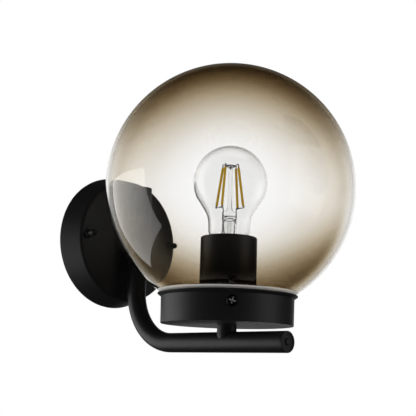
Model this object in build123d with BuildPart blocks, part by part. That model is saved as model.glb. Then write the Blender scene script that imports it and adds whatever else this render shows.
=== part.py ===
from build123d import *
from math import cos, radians, sin, sqrt
import os

# A globe wall light: a round wall plate, a J-shaped tube arm, a shallow cup that clamps a
# smoked glass globe, and a screw-in filament bulb in a plain black sleeve.
# The origin is the middle of the wall plate, on the wall. +Z is up, the lamp stands out
# from the wall along -Y, and +X is to the right for someone who faces the wall.
# All sizes are in millimetres.

# ---------------------------------------------------------------- driving sizes
# Fits
fit_gap = 0.05            # radial gap of a screw or nipple in its own fixed hole
running_gap = 0.08        # radial gap of a piece that turns in its bore
clear_gap = 0.3           # gap between pieces that are drawn past each other

# Globe
globe_d = 200.0
globe_wall = 2.2
neck_d = 98.0
neck_length = 18.6

# Cup that holds the globe
cup_reach = 145.5         # wall to the globe's axis
cup_top_d = 104.6         # outside of the wall under the flange
cup_base_d = 103.8
cup_height = 23.2         # underside to the top of the flange
cup_wall = 1.0
cup_corner = 5.5
flange_d = 110.0
flange_drop = 2.6         # height that the flare takes
cup_drain_d = 4.0
seal_height = 2.4
seal_width = 5.0

# Arm
tube_d = 16.0
tube_wall = 1.5
bend_radius = 46.5        # at the tube's axis
limb_reach = 36.5         # wall to the axis of the upright limb
limb_top = 45.5           # height of the upright limb's open end
arm_drop = 91.3           # plate centre down to the axis of the level limb
arm_reach = 204.6         # wall to the level limb's open end
boss_spacing = 40.0       # between the two fixings of the limb
wire_boss_z = -20.0
boss_d = 12.0
stem_d = 15.3

# End plugs
plug_rim = 1.5
plug_rim_width = 1.7
plug_sink = 0.7
plug_depth = 7.0
plug_wall = 1.4
plug_dome = 1.3
plug_dome_d = 5.4

# Wall plate
plate_d = 119.6
plate_front_d = 107.6
plate_depth = 23.2        # wall to the front face
plate_wall = 1.2
plate_corner = 3.0
gasket_thickness = 1.5
gasket_width = 3.2

# Bracket and its fixings
stud_spacing = 94.0
bar_width = 24.0
bar_thickness = 1.5
bar_overhang = 7.0        # bar beyond each stud
cable_hole_d = 16.0
slot_spacing = 60.0
slot_width = 4.5
slot_length = 12.0
stud_d = 4.0
stud_nut_flats = 7.0
stud_nut_height = 3.2
cap_nut_flats = 7.0
cap_nut_base = 3.0
cap_nut_shank_d = 5.4
cap_nut_length = 10.5
cap_nut_thread = 7.0
tab_width = 30.0
tab_top = 37.0

# Terminals
block_width = 26.0
block_height = 18.0
block_depth = 12.0
block_bottom = 17.0
pole_pitch = 8.0
pole_bore_d = 4.2
earth_x = 17.0
earth_screw_d = 4.0

# Nipples, screws and washers
nipple_d = 10.0
nipple_bore_d = 7.4
nipple_nut_flats = 14.0
nipple_nut_height = 4.0
arm_screw_d = 5.0

# Lampholder
sleeve_d = 45.0
sleeve_wall = 1.2
sleeve_height = 67.7
holder_d = 39.0
holder_wall = 2.6
shell_wall = 0.5

# Bulb, to the usual sizes of a 60 mm bulb with a 27 mm screw cap
bulb_d = 60.0
bulb_length = 105.0
bulb_lift = 5.0           # centre of the bulb above the centre of the globe
bulb_wall = 1.0
bulb_neck_d = 33.6
cap_d = 26.4
cap_length = 23.0
contact_d = 9.0
contact_height = 2.2

# Globe clamp screws
clamp_count = 3
clamp_first_angle = -44.0  # from straight ahead (-Y) towards +X
clamp_drop = 9.2           # below the flange top
clamp_d = 4.0
clamp_head_d = 8.5
clamp_head_height = 2.8
clamp_head_reach = 59.0    # globe axis to the outer face of the head
clamp_collar_d = 7.0
clamp_collar_length = 2.4
pad_d = 6.0
pad_thickness = 1.6
pad_gap = 0.3              # tip to glass, so the glass lifts freely

# Wires
wire_d = 2.0
wire_spread = 1.5          # each wire beside the tube's axis

# ---------------------------------------------------------------- places worked out
tube_r = tube_d / 2
tube_bore_r = tube_r - tube_wall
arm_z = -arm_drop
cup_bottom = arm_z + tube_r + 5.3
cup_top = cup_bottom + cup_height
cup_floor = cup_bottom + cup_wall
seal_top = cup_floor + seal_height
globe_r = globe_d / 2
neck_r = neck_d / 2
neck_bore_r = neck_r - globe_wall
globe_z = seal_top + neck_length + sqrt(globe_r**2 - neck_r**2)
bulb_z = globe_z + bulb_lift
bulb_top = bulb_z + bulb_d / 2
bulb_tip = bulb_top - bulb_length
cap_bottom = bulb_tip + contact_height + 4.3
cap_top = cap_bottom + cap_length
clamp_z = cup_top - clamp_drop
screw_boss_z = wire_boss_z + boss_spacing
stud_x = stud_spacing / 2
nipple_r = nipple_d / 2

# Drawing planes. The front planes look along +Y, so their height is Z.
wall_plane = Plane.XZ
globe_plane = Plane.XZ.offset(cup_reach)
globe_axis = Axis((0, -cup_reach, 0), (0, 0, 1))

os.makedirs("parts", exist_ok=True)


def write(sub_part, name):
    """Label a finished piece and write it as its own file."""
    sub_part.part.label = name
    export_step(sub_part.part, f"parts/{name}.step")


def hex_circle(flats):
    """The circumscribed radius of a hexagon with this width across its flats."""
    return flats / sqrt(3)


def turned(profile_points, plane=globe_plane, axis=globe_axis):
    """A turned piece from its half section, as (radius, height) corners."""
    with BuildPart() as piece:
        with BuildSketch(plane):
            with BuildLine():
                Polyline(*profile_points, close=True)
            make_face()
        revolve(axis=axis)
    return piece


def ring_at(plane, outer_r, inner_r, thickness):
    """A flat washer that stands on a plane."""
    with BuildPart() as piece:
        with BuildSketch(plane):
            Circle(outer_r)
            Circle(inner_r, mode=Mode.SUBTRACT)
        extrude(amount=thickness)
    return piece


def nut_at(plane, flats, hole_r, height, spots=((0, 0),)):
    """Hexagon nuts that stand on a plane, with their corners taken off on the outer side."""
    with BuildPart() as piece:
        with BuildSketch(plane):
            with Locations(*spots):
                RegularPolygon(hex_circle(flats), 6)
                Circle(hole_r, mode=Mode.SUBTRACT)
        extrude(amount=height)
    return piece


# ---------------------------------------------------------------- wall bracket
bar_length = stud_spacing + 2 * bar_overhang
with BuildPart() as wall_bracket:
    with BuildSketch(wall_plane):
        SlotOverall(bar_length, bar_width)
        with Locations((0, tab_top / 2)):
            RectangleRounded(tab_width, tab_top, 3)
        Circle(cable_hole_d / 2, mode=Mode.SUBTRACT)
        with Locations((-stud_x, 0), (stud_x, 0)):
            Circle(stud_d / 2 + fit_gap, mode=Mode.SUBTRACT)
        with Locations((-slot_spacing / 2, 0), (slot_spacing / 2, 0)):
            SlotOverall(slot_length, slot_width, mode=Mode.SUBTRACT)
        with Locations((earth_x, 0)):
            Circle(earth_screw_d / 2 + fit_gap, mode=Mode.SUBTRACT)
        with Locations((pole_pitch / 2, block_bottom + block_height / 2)):
            Circle(1.25 + fit_gap, mode=Mode.SUBTRACT)
    extrude(amount=bar_thickness)
write(wall_bracket, "wall_bracket")

bracket_front = Plane.XZ.offset(bar_thickness)
plate_front = Plane.XZ.offset(plate_depth)
plate_inner = Plane.XZ.offset(plate_depth - plate_wall)
cap_nut_thread_end = plate_depth + cap_nut_thread

with BuildPart() as bracket_studs:
    with BuildSketch(wall_plane):
        with Locations((-stud_x, 0), (stud_x, 0)):
            Circle(stud_d / 2)
    extrude(amount=cap_nut_thread_end - 0.5)
    chamfer(bracket_studs.faces().sort_by(Axis.Y)[:2].edges(), 0.5)
write(bracket_studs, "bracket_studs")

stud_nuts = nut_at(
    bracket_front, stud_nut_flats, stud_d / 2 + fit_gap, stud_nut_height,
    spots=((-stud_x, 0), (stud_x, 0)),
)
write(stud_nuts, "stud_nuts")

# ---------------------------------------------------------------- wall plate
# A pressed steel pan: drafted side, rounded front edge, open at the back.
draft_run = (plate_d - plate_front_d) / 2
pan_rear = gasket_thickness
with BuildPart() as wall_plate:
    with BuildSketch(Plane.XY):
        with BuildLine():
            Polyline(
                (0, -pan_rear),
                (plate_d / 2, -pan_rear),
                (plate_front_d / 2, -plate_depth),
                (0, -plate_depth),
                close=True,
            )
        make_face()
    revolve(axis=Axis.Y)
    front_edge = wall_plate.edges().filter_by(GeomType.CIRCLE).group_by(Axis.Y)[0]
    fillet(front_edge, plate_corner)
    back_face = wall_plate.faces().sort_by(Axis.Y)[-1]
    offset(amount=-plate_wall, openings=back_face)
    with BuildSketch(plate_front):
        with Locations((-stud_x, 0), (stud_x, 0)):
            Circle(stud_d / 2 + 0.2)
        with Locations((0, wire_boss_z)):
            Circle(nipple_r + fit_gap)
        with Locations((0, screw_boss_z)):
            Circle(arm_screw_d / 2 + 0.2)
    extrude(amount=-2 * plate_wall, mode=Mode.SUBTRACT)
write(wall_plate, "wall_plate")

with BuildPart() as plate_gasket:
    with BuildSketch(wall_plane):
        Circle(plate_d / 2 - 0.3)
        Circle(plate_d / 2 - 0.3 - gasket_width, mode=Mode.SUBTRACT)
    extrude(amount=gasket_thickness)
write(plate_gasket, "plate_gasket")

# Domed nuts: a hexagon foot, a round shank and a ball end, with a blind thread.
with BuildPart() as cap_nuts:
    with BuildSketch(plate_front):
        with Locations((-stud_x, 0), (stud_x, 0)):
            RegularPolygon(hex_circle(cap_nut_flats), 6)
    extrude(amount=cap_nut_base)
    with BuildSketch(plate_front):
        with Locations((-stud_x, 0), (stud_x, 0)):
            Circle(cap_nut_shank_d / 2)
    extrude(amount=cap_nut_length)
    dome_ends = cap_nuts.edges().filter_by(GeomType.CIRCLE).group_by(Axis.Y)[0]
    fillet(dome_ends, cap_nut_shank_d / 2 - 0.05)
    with BuildSketch(plate_front):
        with Locations((-stud_x, 0), (stud_x, 0)):
            Circle(stud_d / 2 + fit_gap)
    extrude(amount=cap_nut_thread, mode=Mode.SUBTRACT)
write(cap_nuts, "cap_nuts")

# ---------------------------------------------------------------- terminals
block_mid = block_bottom + block_height / 2
block_spots = [(pole_pitch * i, block_mid) for i in (-1, 0, 1)]
block_face = Plane.XZ.offset(bar_thickness)
pole_y = bar_thickness + block_depth * 0.58
with BuildPart() as terminal_block:
    with BuildSketch(block_face):
        with Locations((0, block_mid)):
            RectangleRounded(block_width, block_height, 1.5)
    extrude(amount=block_depth * 0.45)
    with BuildSketch(block_face):
        with Locations(*block_spots):
            RectangleRounded(pole_pitch - 1.2, block_height, 1.0)
    extrude(amount=block_depth)
    with BuildSketch(Plane.XY.offset(block_bottom)):
        with Locations(*[(x, -pole_y) for x, z in block_spots]):
            Circle(pole_bore_d / 2)
    extrude(amount=block_height, mode=Mode.SUBTRACT)
    with BuildSketch(block_face.offset(block_depth)):
        with Locations(*[(x, block_mid + s * 4.5) for x, z in block_spots for s in (-1, 1)]):
            Circle(1.7)
    extrude(amount=-(block_depth - pole_y + bar_thickness), mode=Mode.SUBTRACT)
    with BuildSketch(block_face):
        with Locations((pole_pitch / 2, block_mid)):
            Circle(1.25 + fit_gap)
    extrude(amount=block_depth, mode=Mode.SUBTRACT)
write(terminal_block, "terminal_block")

# Brass tubes in the block, each with two screws that press on the wire.
clamp_tube_r = pole_bore_d / 2 - fit_gap
clamp_bore_r = 1.3
with BuildPart() as terminal_clamps:
    with BuildSketch(Plane.XY.offset(block_bottom + 1)):
        with Locations(*[(x, -pole_y) for x, z in block_spots]):
            Circle(clamp_tube_r)
            Circle(clamp_bore_r, mode=Mode.SUBTRACT)
    extrude(amount=block_height - 2)
write(terminal_clamps, "terminal_clamps")

terminal_screw_top = bar_thickness + block_depth - 1.2
terminal_screw_foot = pole_y + clamp_tube_r + fit_gap
with BuildPart() as terminal_screws:
    with BuildSketch(Plane.XZ.offset(terminal_screw_foot)):
        with Locations(*[(x, block_mid + s * 4.5) for x, z in block_spots for s in (-1, 1)]):
            Circle(1.6)
    extrude(amount=terminal_screw_top - terminal_screw_foot)
write(terminal_screws, "terminal_screws")

block_screw_seat = bar_thickness + block_depth * 0.45
with BuildPart() as block_screw:
    with BuildSketch(wall_plane):
        with Locations((pole_pitch / 2, block_mid)):
            Circle(1.25)
    extrude(amount=block_screw_seat)
write(block_screw, "block_screw")

# Earth screw with the tag of the earth wire under its head.
tag_thickness = 0.8
with BuildPart() as earth_screw:
    with BuildSketch(wall_plane):
        with Locations((earth_x, 0)):
            Circle(earth_screw_d / 2)
    extrude(amount=bar_thickness + tag_thickness)
    with BuildSketch(bracket_front.offset(tag_thickness)):
        with Locations((earth_x, 0)):
            Circle(3.8)
    extrude(amount=2.4)
    fillet(earth_screw.edges().filter_by(GeomType.CIRCLE).group_by(Axis.Y)[0], 1.0)
write(earth_screw, "earth_screw")

tag_top = 12.0
with BuildPart() as earth_tag:
    with BuildSketch(bracket_front):
        with Locations((earth_x, 0)):
            Circle(4.0)
        with Locations((earth_x, tag_top / 2)):
            Rectangle(2.6, tag_top)
        with Locations((earth_x, 0)):
            Circle(earth_screw_d / 2 + fit_gap, mode=Mode.SUBTRACT)
    extrude(amount=tag_thickness)
write(earth_tag, "earth_tag")

# ---------------------------------------------------------------- arm
# One tube: upright limb, quarter bend, level limb.
with BuildPart() as arm_tube:
    with BuildLine() as arm_line:
        FilletPolyline(
            (0, -limb_reach, limb_top),
            (0, -limb_reach, arm_z),
            (0, -arm_reach, arm_z),
            radius=bend_radius,
        )
    with BuildSketch(Plane.XY.offset(limb_top)):
        with Locations((0, -limb_reach)):
            Circle(tube_r)
            Circle(tube_bore_r, mode=Mode.SUBTRACT)
    sweep(path=arm_line.line)
    with BuildSketch(Plane.XZ.offset(limb_reach)):
        with Locations((0, wire_boss_z)):
            Circle(nipple_r + fit_gap)
        with Locations((0, screw_boss_z)):
            Circle(arm_screw_d / 2 + fit_gap)
    extrude(amount=-tube_d, mode=Mode.SUBTRACT)
    with BuildSketch(Plane.XY.offset(arm_z)):
        with Locations((0, -cup_reach)):
            Circle(nipple_r + fit_gap)
    extrude(amount=tube_d, mode=Mode.SUBTRACT)
write(arm_tube, "arm_tube")


def end_plug(plane):
    """A pressed-in plug for a tube end: a rounded rim, a sunk web and a small dome."""
    seat_r = tube_bore_r - fit_gap
    with BuildPart() as plug:
        with BuildSketch(plane):
            Circle(tube_r)
        extrude(amount=plug_rim)
        fillet(plug.edges().filter_by(GeomType.CIRCLE), plug_rim / 2 - 0.02)
        with BuildSketch(plane):
            Circle(seat_r)
        extrude(amount=-plug_depth)
        with BuildSketch(plane.offset(plug_rim)):
            Circle(tube_r - plug_rim_width)
        extrude(amount=-plug_sink, mode=Mode.SUBTRACT)
        with BuildSketch(plane.offset(plug_rim - plug_sink)):
            Circle(plug_dome_d / 2)
        extrude(amount=plug_dome)
        outward = Axis(plane.origin, plane.z_dir)
        dome_top = plug.edges().filter_by(GeomType.CIRCLE).group_by(outward)[-1]
        fillet(dome_top.sort_by(SortBy.RADIUS)[0], plug_dome - 0.05)
        with BuildSketch(plane.offset(-plug_depth)):
            Circle(seat_r - plug_wall)
        extrude(amount=plug_depth - plug_wall, mode=Mode.SUBTRACT)
    return plug


limb_end_cap = end_plug(Plane(origin=(0, -limb_reach, limb_top), z_dir=(0, 0, 1)))
write(limb_end_cap, "limb_end_cap")
arm_end_cap = end_plug(Plane(origin=(0, -arm_reach, arm_z), z_dir=(0, -1, 0)))
write(arm_end_cap, "arm_end_cap")


def limb_boss(height, hole_r, name):
    """A round spacer between the plate and the limb, with its end coped to the tube."""
    with BuildPart() as boss:
        with BuildSketch(plate_front):
            with Locations((0, height)):
                Circle(boss_d / 2)
        extrude(amount=limb_reach - plate_depth)
        with BuildSketch(plate_front):
            with Locations((0, height)):
                Circle(hole_r)
        extrude(amount=limb_reach - plate_depth, mode=Mode.SUBTRACT)
        with BuildSketch(Plane.XY.offset(height - boss_d)):
            with Locations((0, -limb_reach)):
                Circle(tube_r + 0.01)
        extrude(amount=2 * boss_d, mode=Mode.SUBTRACT)
    write(boss, name)


limb_boss(wire_boss_z, nipple_r + fit_gap, "wire_boss")
limb_boss(screw_boss_z, arm_screw_d / 2 + 0.2, "screw_boss")

# Hollow threaded nipple that carries the wires from the limb into the plate.
lock_washer_t = 1.0
nipple_front = limb_reach - tube_bore_r + 0.8
nipple_rear = plate_depth - plate_wall - lock_washer_t - nipple_nut_height - 0.8
with BuildPart() as arm_nipple:
    with BuildSketch(Plane.XZ.offset(nipple_rear)):
        with Locations((0, wire_boss_z)):
            Circle(nipple_r)
            Circle(nipple_bore_d / 2, mode=Mode.SUBTRACT)
    extrude(amount=nipple_front - nipple_rear)
write(arm_nipple, "arm_nipple")

arm_lock_washer = ring_at(
    Plane.XZ.offset(plate_depth - plate_wall - lock_washer_t)
    * Location((0, wire_boss_z, 0)),
    8.5, nipple_r + fit_gap, lock_washer_t,
)
write(arm_lock_washer, "arm_lock_washer")

nut_rear = plate_depth - plate_wall - lock_washer_t - nipple_nut_height
arm_nut = nut_at(
    Plane.XZ.offset(nut_rear), nipple_nut_flats, nipple_r + fit_gap, nipple_nut_height,
    spots=((0, wire_boss_z),),
)
write(arm_nut, "arm_nut")

# Plastic bush in the nipple's mouth, so that its edge can't cut the wires.
bush_lip = 1.0
with BuildPart() as nipple_bush:
    with BuildSketch(Plane.XZ.offset(nipple_rear - bush_lip)):
        with Locations((0, wire_boss_z)):
            Circle(nipple_r)
    extrude(amount=bush_lip)
    with BuildSketch(Plane.XZ.offset(nipple_rear)):
        with Locations((0, wire_boss_z)):
            Circle(nipple_bore_d / 2 - fit_gap)
    extrude(amount=3.0)
    with BuildSketch(Plane.XZ.offset(nipple_rear - bush_lip)):
        with Locations((0, wire_boss_z)):
            Circle(nipple_bore_d / 2 - 0.8)
    extrude(amount=4.0, mode=Mode.SUBTRACT)
write(nipple_bush, "nipple_bush")

# Second fixing: a pan-head screw from inside the plate into the limb.
arm_screw_tip = limb_reach - tube_bore_r + 2.0
arm_screw_seat = plate_depth - plate_wall - lock_washer_t
with BuildPart() as arm_screw:
    with BuildSketch(Plane.XZ.offset(arm_screw_seat)):
        with Locations((0, screw_boss_z)):
            Circle(arm_screw_d / 2)
    extrude(amount=arm_screw_tip - arm_screw_seat)
    with BuildSketch(Plane.XZ.offset(arm_screw_seat)):
        with Locations((0, screw_boss_z)):
            Circle(4.6)
    extrude(amount=-3.0)
    fillet(arm_screw.edges().filter_by(GeomType.CIRCLE).group_by(Axis.Y)[-1], 1.2)
write(arm_screw, "arm_screw")

arm_screw_washer = ring_at(
    Plane.XZ.offset(arm_screw_seat) * Location((0, screw_boss_z, 0)),
    5.0, arm_screw_d / 2 + 0.2, lock_washer_t,
)
write(arm_screw_washer, "arm_screw_washer")

# ---------------------------------------------------------------- stem and cup
with BuildPart() as stem_boss:
    with BuildSketch(Plane.XY.offset(arm_z)):
        with Locations((0, -cup_reach)):
            Circle(stem_d / 2)
    extrude(amount=cup_bottom - arm_z)
    with BuildSketch(Plane.XY.offset(arm_z)):
        with Locations((0, -cup_reach)):
            Circle(nipple_r + fit_gap)
    extrude(amount=cup_bottom - arm_z, mode=Mode.SUBTRACT)
    with BuildSketch(Plane.XZ.offset(cup_reach - stem_d)):
        with Locations((0, arm_z)):
            Circle(tube_r + 0.01)
    extrude(amount=2 * stem_d, mode=Mode.SUBTRACT)
write(stem_boss, "stem_boss")

# Spun steel cup with an out-flared rim and a rounded lower edge.
cup_top_r = cup_top_d / 2
cup_base_r = cup_base_d / 2
flange_r = flange_d / 2
flare_start = cup_top - flange_drop
with BuildPart() as gallery_cup:
    with BuildSketch(globe_plane) as cup_section:
        with BuildLine():
            Polyline(
                (nipple_r + fit_gap, cup_bottom),
                (cup_base_r, cup_bottom),
                (cup_top_r, flare_start),
                (flange_r, cup_top - 0.7),
                (flange_r, cup_top),
                (flange_r - 0.9, cup_top),
                (cup_top_r - cup_wall, flare_start),
                (cup_base_r - cup_wall, cup_floor),
                (nipple_r + fit_gap, cup_floor),
                close=True,
            )
        make_face()
        corner_outer = cup_section.vertices().filter_by(
            lambda v: abs(v.X - cup_base_r) < 0.01 and abs(v.Z - cup_bottom) < 0.01
        )
        fillet(corner_outer, cup_corner)
        corner_inner = cup_section.vertices().filter_by(
            lambda v: abs(v.X - cup_base_r + cup_wall) < 0.01 and abs(v.Z - cup_floor) < 0.01
        )
        fillet(corner_inner, cup_corner - cup_wall)
    revolve(axis=globe_axis)
    clamp_planes = [
        Plane(
            origin=(0, -cup_reach, clamp_z),
            x_dir=(cos(radians(a)), sin(radians(a)), 0),
            z_dir=(sin(radians(a)), -cos(radians(a)), 0),
        )
        for a in [clamp_first_angle + i * 360 / clamp_count for i in range(clamp_count)]
    ]
    for plane in clamp_planes:
        with BuildSketch(plane):
            Circle(clamp_collar_d / 2 - 0.8)
        extrude(amount=flange_r, mode=Mode.SUBTRACT)
    with BuildSketch(Plane.XY.offset(cup_bottom)):
        with Locations((0, -cup_reach)):
            with PolarLocations(cup_base_r * 0.6, 3, start_angle=30):
                Circle(cup_drain_d / 2)
    extrude(amount=2 * cup_wall, mode=Mode.SUBTRACT)
write(gallery_cup, "gallery_cup")

# Threaded collars riveted into the cup wall, one for each clamp screw.
collar_shank_r = clamp_collar_d / 2 - 0.8 - fit_gap
collar_face = cup_base_r - cup_wall - 0.35
with BuildPart() as clamp_collars:
    for plane in clamp_planes:
        with BuildSketch(plane.offset(collar_face - clamp_collar_length + 1.2)):
            Circle(collar_shank_r)
        extrude(amount=clamp_collar_length + 0.8)
    for plane in clamp_planes:
        with BuildSketch(plane.offset(collar_face - clamp_collar_length + 1.2)):
            Circle(clamp_d / 2 + running_gap)
        extrude(amount=3 * clamp_collar_length, mode=Mode.SUBTRACT)
write(clamp_collars, "clamp_collars")

holder_nipple_bottom = arm_z + tube_r - 2.2
cup_washer_t = 1.2
nipple_nut_top = cup_floor + cup_washer_t + nipple_nut_height
holder_floor = nipple_nut_top + 6.0
with BuildPart() as holder_nipple:
    with BuildSketch(Plane.XY.offset(holder_nipple_bottom)):
        with Locations((0, -cup_reach)):
            Circle(nipple_r)
            Circle(nipple_bore_d / 2, mode=Mode.SUBTRACT)
    extrude(amount=holder_floor + 7.0 - holder_nipple_bottom)
write(holder_nipple, "holder_nipple")

# The washer's edge also centres the sleeve, which stands on the floor of the cup.
sleeve_r = sleeve_d / 2
cup_centre = Location((0, -cup_reach, 0))
cup_washer = ring_at(
    Plane.XY.offset(cup_floor) * cup_centre,
    sleeve_r - sleeve_wall - fit_gap, nipple_r + fit_gap, cup_washer_t,
)
write(cup_washer, "cup_washer")
cup_nut = nut_at(
    Plane.XY.offset(cup_floor + cup_washer_t), nipple_nut_flats, nipple_r + fit_gap,
    nipple_nut_height, spots=((0, -cup_reach),),
)
write(cup_nut, "cup_nut")

globe_seal = ring_at(
    Plane.XY.offset(cup_floor) * cup_centre,
    neck_r - 0.3, neck_r - 0.3 - seal_width, seal_height,
)
write(globe_seal, "globe_seal")

# ---------------------------------------------------------------- clamp screws
tip_reach = neck_r + pad_gap
for number, plane in enumerate(clamp_planes, start=1):
    with BuildPart() as screw_pad:
        with BuildSketch(plane.offset(tip_reach)):
            Circle(1.5)
        extrude(amount=pad_thickness / 2)
    write(screw_pad, f"screw_pad_{number}")
    with BuildPart() as clamp_screw:
        with BuildSketch(plane.offset(tip_reach + pad_thickness / 2)):
            Circle(clamp_d / 2)
        extrude(amount=clamp_head_reach - clamp_head_height - tip_reach - pad_thickness / 2)
        with BuildSketch(plane.offset(clamp_head_reach - clamp_head_height)):
            Circle(clamp_head_d / 2)
        extrude(amount=clamp_head_height)
        outward = Axis(plane.origin, plane.z_dir)
        head_rim = clamp_screw.edges().filter_by(GeomType.CIRCLE).sort_by(outward)[-1]
        fillet(head_rim, 1.4)
        with BuildSketch(plane.offset(clamp_head_reach)):
            Rectangle(4.6, 1.0)
            Rectangle(1.0, 4.6)
        extrude(amount=-1.4, mode=Mode.SUBTRACT)
    write(clamp_screw, f"clamp_screw_{number}")

# ---------------------------------------------------------------- glass globe
# Blown ball with a straight cut neck, which stands on the seal. The ball and the neck are
# one piece of glass, split at the corner between them.
neck_top = globe_z - sqrt(globe_r**2 - neck_r**2)
inner_r = globe_r - globe_wall
inner_split_r = sqrt(inner_r**2 - (globe_z - neck_top) ** 2)
with BuildPart() as glass_globe:
    with BuildSketch(globe_plane):
        with BuildLine():
            outside = ThreePointArc(
                (0, globe_z + globe_r), (globe_r, globe_z), (neck_r, neck_top)
            )
            Line(outside @ 1, (inner_split_r, neck_top))
            inside = ThreePointArc(
                (inner_split_r, neck_top), (inner_r, globe_z), (0, globe_z + inner_r)
            )
            Line(inside @ 1, outside @ 0)
        make_face()
    revolve(axis=globe_axis)
write(glass_globe, "glass_globe")

globe_neck = ring_at(
    Plane.XY.offset(seal_top) * cup_centre, neck_r, neck_bore_r, neck_top - seal_top
)
write(globe_neck, "globe_neck")

# ---------------------------------------------------------------- lampholder
sleeve_top = cup_floor + sleeve_height
holder_r = holder_d / 2
with BuildPart() as holder_sleeve:
    with BuildSketch(globe_plane):
        with BuildLine():
            Polyline(
                (sleeve_r - sleeve_wall, cup_floor),
                (sleeve_r, cup_floor),
                (sleeve_r, sleeve_top),
                (sleeve_r - 2.4, sleeve_top),
                (sleeve_r - 2.4, sleeve_top - 1.2),
                (sleeve_r - sleeve_wall, sleeve_top - 1.2),
                close=True,
            )
        make_face()
    revolve(axis=globe_axis)
    rim_edge = holder_sleeve.edges().filter_by(GeomType.CIRCLE).group_by(Axis.Z)[-1]
    fillet(rim_edge.sort_by(SortBy.RADIUS)[-1], 0.6)
write(holder_sleeve, "holder_sleeve")

# Moulded base: floor on the nipple, side wall up to the cap of the bulb.
thread_r = cap_d / 2
socket_r = thread_r + clear_gap
shell_r = socket_r + shell_wall
insert_floor = bulb_tip - 5.0
holder_top = cap_top - 3.0
holder_base = turned(
    (
        (nipple_r + fit_gap, holder_floor),
        (holder_r, holder_floor),
        (holder_r, holder_top),
        (holder_r - holder_wall, holder_top),
        (holder_r - holder_wall, holder_floor + 8.0),
        (nipple_r + 3.5, holder_floor + 8.0),
        (nipple_r + 3.5, holder_floor + 9.0),
        (nipple_r + fit_gap, holder_floor + 9.0),
    )
)
write(holder_base, "holder_base")

# Ceramic insert with the threaded brass shell and the sprung centre contact.
insert_r = holder_r - holder_wall - fit_gap
with BuildPart() as holder_insert:
    with BuildSketch(globe_plane):
        with BuildLine():
            Polyline(
                (0, insert_floor - 4.0),
                (insert_r, insert_floor - 4.0),
                (insert_r, holder_top - 1.0),
                (shell_r + fit_gap, holder_top - 1.0),
                (shell_r + fit_gap, insert_floor),
                (0, insert_floor),
                close=True,
            )
        make_face()
    revolve(axis=globe_axis)
    with BuildSketch(Plane.XY.offset(insert_floor - 4.0)):
        with Locations((0, -cup_reach)):
            with Locations((-9, 0), (9, 0)):
                Circle(wire_d / 2 + 0.3)
    extrude(amount=3.0, mode=Mode.SUBTRACT)
write(holder_insert, "holder_insert")

holder_shell = turned(
    (
        (socket_r, insert_floor + 0.05),
        (shell_r, insert_floor + 0.05),
        (shell_r, holder_top - 1.5),
        (socket_r, holder_top - 1.5),
    )
)
write(holder_shell, "holder_shell")

# Sprung tongue: rises from the insert's floor and meets the bulb's centre contact.
with BuildPart() as holder_contact:
    with BuildSketch(Plane.YZ):
        with BuildLine():
            Polyline(
                (-cup_reach - 6.5, insert_floor + 0.35),
                (-cup_reach + 5.0, insert_floor + 0.35),
                (-cup_reach + 7.0, insert_floor + 2.2),
                (-cup_reach, bulb_tip - 0.75),
                (-cup_reach - 2.5, bulb_tip - 0.75),
            )
        trace(line_width=0.6)
    extrude(amount=2.5, both=True)
write(holder_contact, "holder_contact")

with BuildPart() as holder_terminal_screws:
    with BuildSketch(Plane.XY.offset(insert_floor - 6.6)):
        with Locations((-9, -cup_reach + 5.5), (9, -cup_reach + 5.5)):
            Circle(2.2)
    extrude(amount=2.55)
write(holder_terminal_screws, "holder_terminal_screws")

# ---------------------------------------------------------------- bulb
bulb_r = bulb_d / 2
bulb_neck_r = bulb_neck_d / 2
neck_low_r = cap_d / 2 - 1.2
glass_bottom = cap_top - 6.0
shoulder_height = 5.0


def bulb_profile(shrink):
    """Half outline of the bulb: a ball, a long flare, a straight neck and a shoulder."""
    ball_r = bulb_r - shrink
    flare = radians(-24)
    flare_point = (ball_r * cos(flare), bulb_z + ball_r * sin(flare))
    neck_point = (bulb_neck_r - shrink, bulb_z - 1.24 * bulb_r)
    shoulder_point = (bulb_neck_r - shrink, cap_top + shoulder_height)
    low_point = (neck_low_r - shrink, cap_top + 0.3)
    with BuildLine() as outline:
        ball = ThreePointArc((0, bulb_z + ball_r), (ball_r, bulb_z), flare_point)
        Spline(
            flare_point,
            (bulb_neck_r + 6.5 - shrink, bulb_z - 0.615 * bulb_r),
            (bulb_neck_r + 1.5 - shrink, bulb_z - 0.89 * bulb_r),
            neck_point,
            tangents=((sin(flare), -cos(flare)), (0, -1)),
        )
        Line(neck_point, shoulder_point)
        Spline(shoulder_point, low_point, tangents=((0, -1), (0, -1)))
        Line(low_point, (neck_low_r - shrink, glass_bottom + shrink))
        Line((neck_low_r - shrink, glass_bottom + shrink), (0, glass_bottom + shrink))
        Line((0, glass_bottom + shrink), (0, bulb_z + ball_r))
    return outline


with BuildPart() as bulb_glass:
    with BuildSketch(globe_plane):
        with BuildLine():
            add(bulb_profile(0))
        make_face()
    revolve(axis=globe_axis)
    with BuildSketch(globe_plane):
        with BuildLine():
            add(bulb_profile(bulb_wall))
        make_face()
    revolve(axis=globe_axis, mode=Mode.SUBTRACT)
    with BuildSketch(Plane.XY.offset(glass_bottom)):
        with Locations((0, -cup_reach)):
            Circle(5.0)
    extrude(amount=bulb_wall, mode=Mode.SUBTRACT)
write(bulb_glass, "bulb_glass")

# Screw cap: plain inside, its thread is a plain outer wall here.
bulb_cap = turned(
    (
        (neck_low_r + fit_gap, cap_top),
        (cap_d / 2, cap_top),
        (cap_d / 2, cap_bottom + 1.5),
        (cap_d / 2 - 1.5, cap_bottom),
        (8.0, cap_bottom),
        (8.0, cap_bottom + 0.5),
        (neck_low_r + fit_gap, cap_bottom + 2.0),
    )
)
write(bulb_cap, "bulb_cap")

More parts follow.
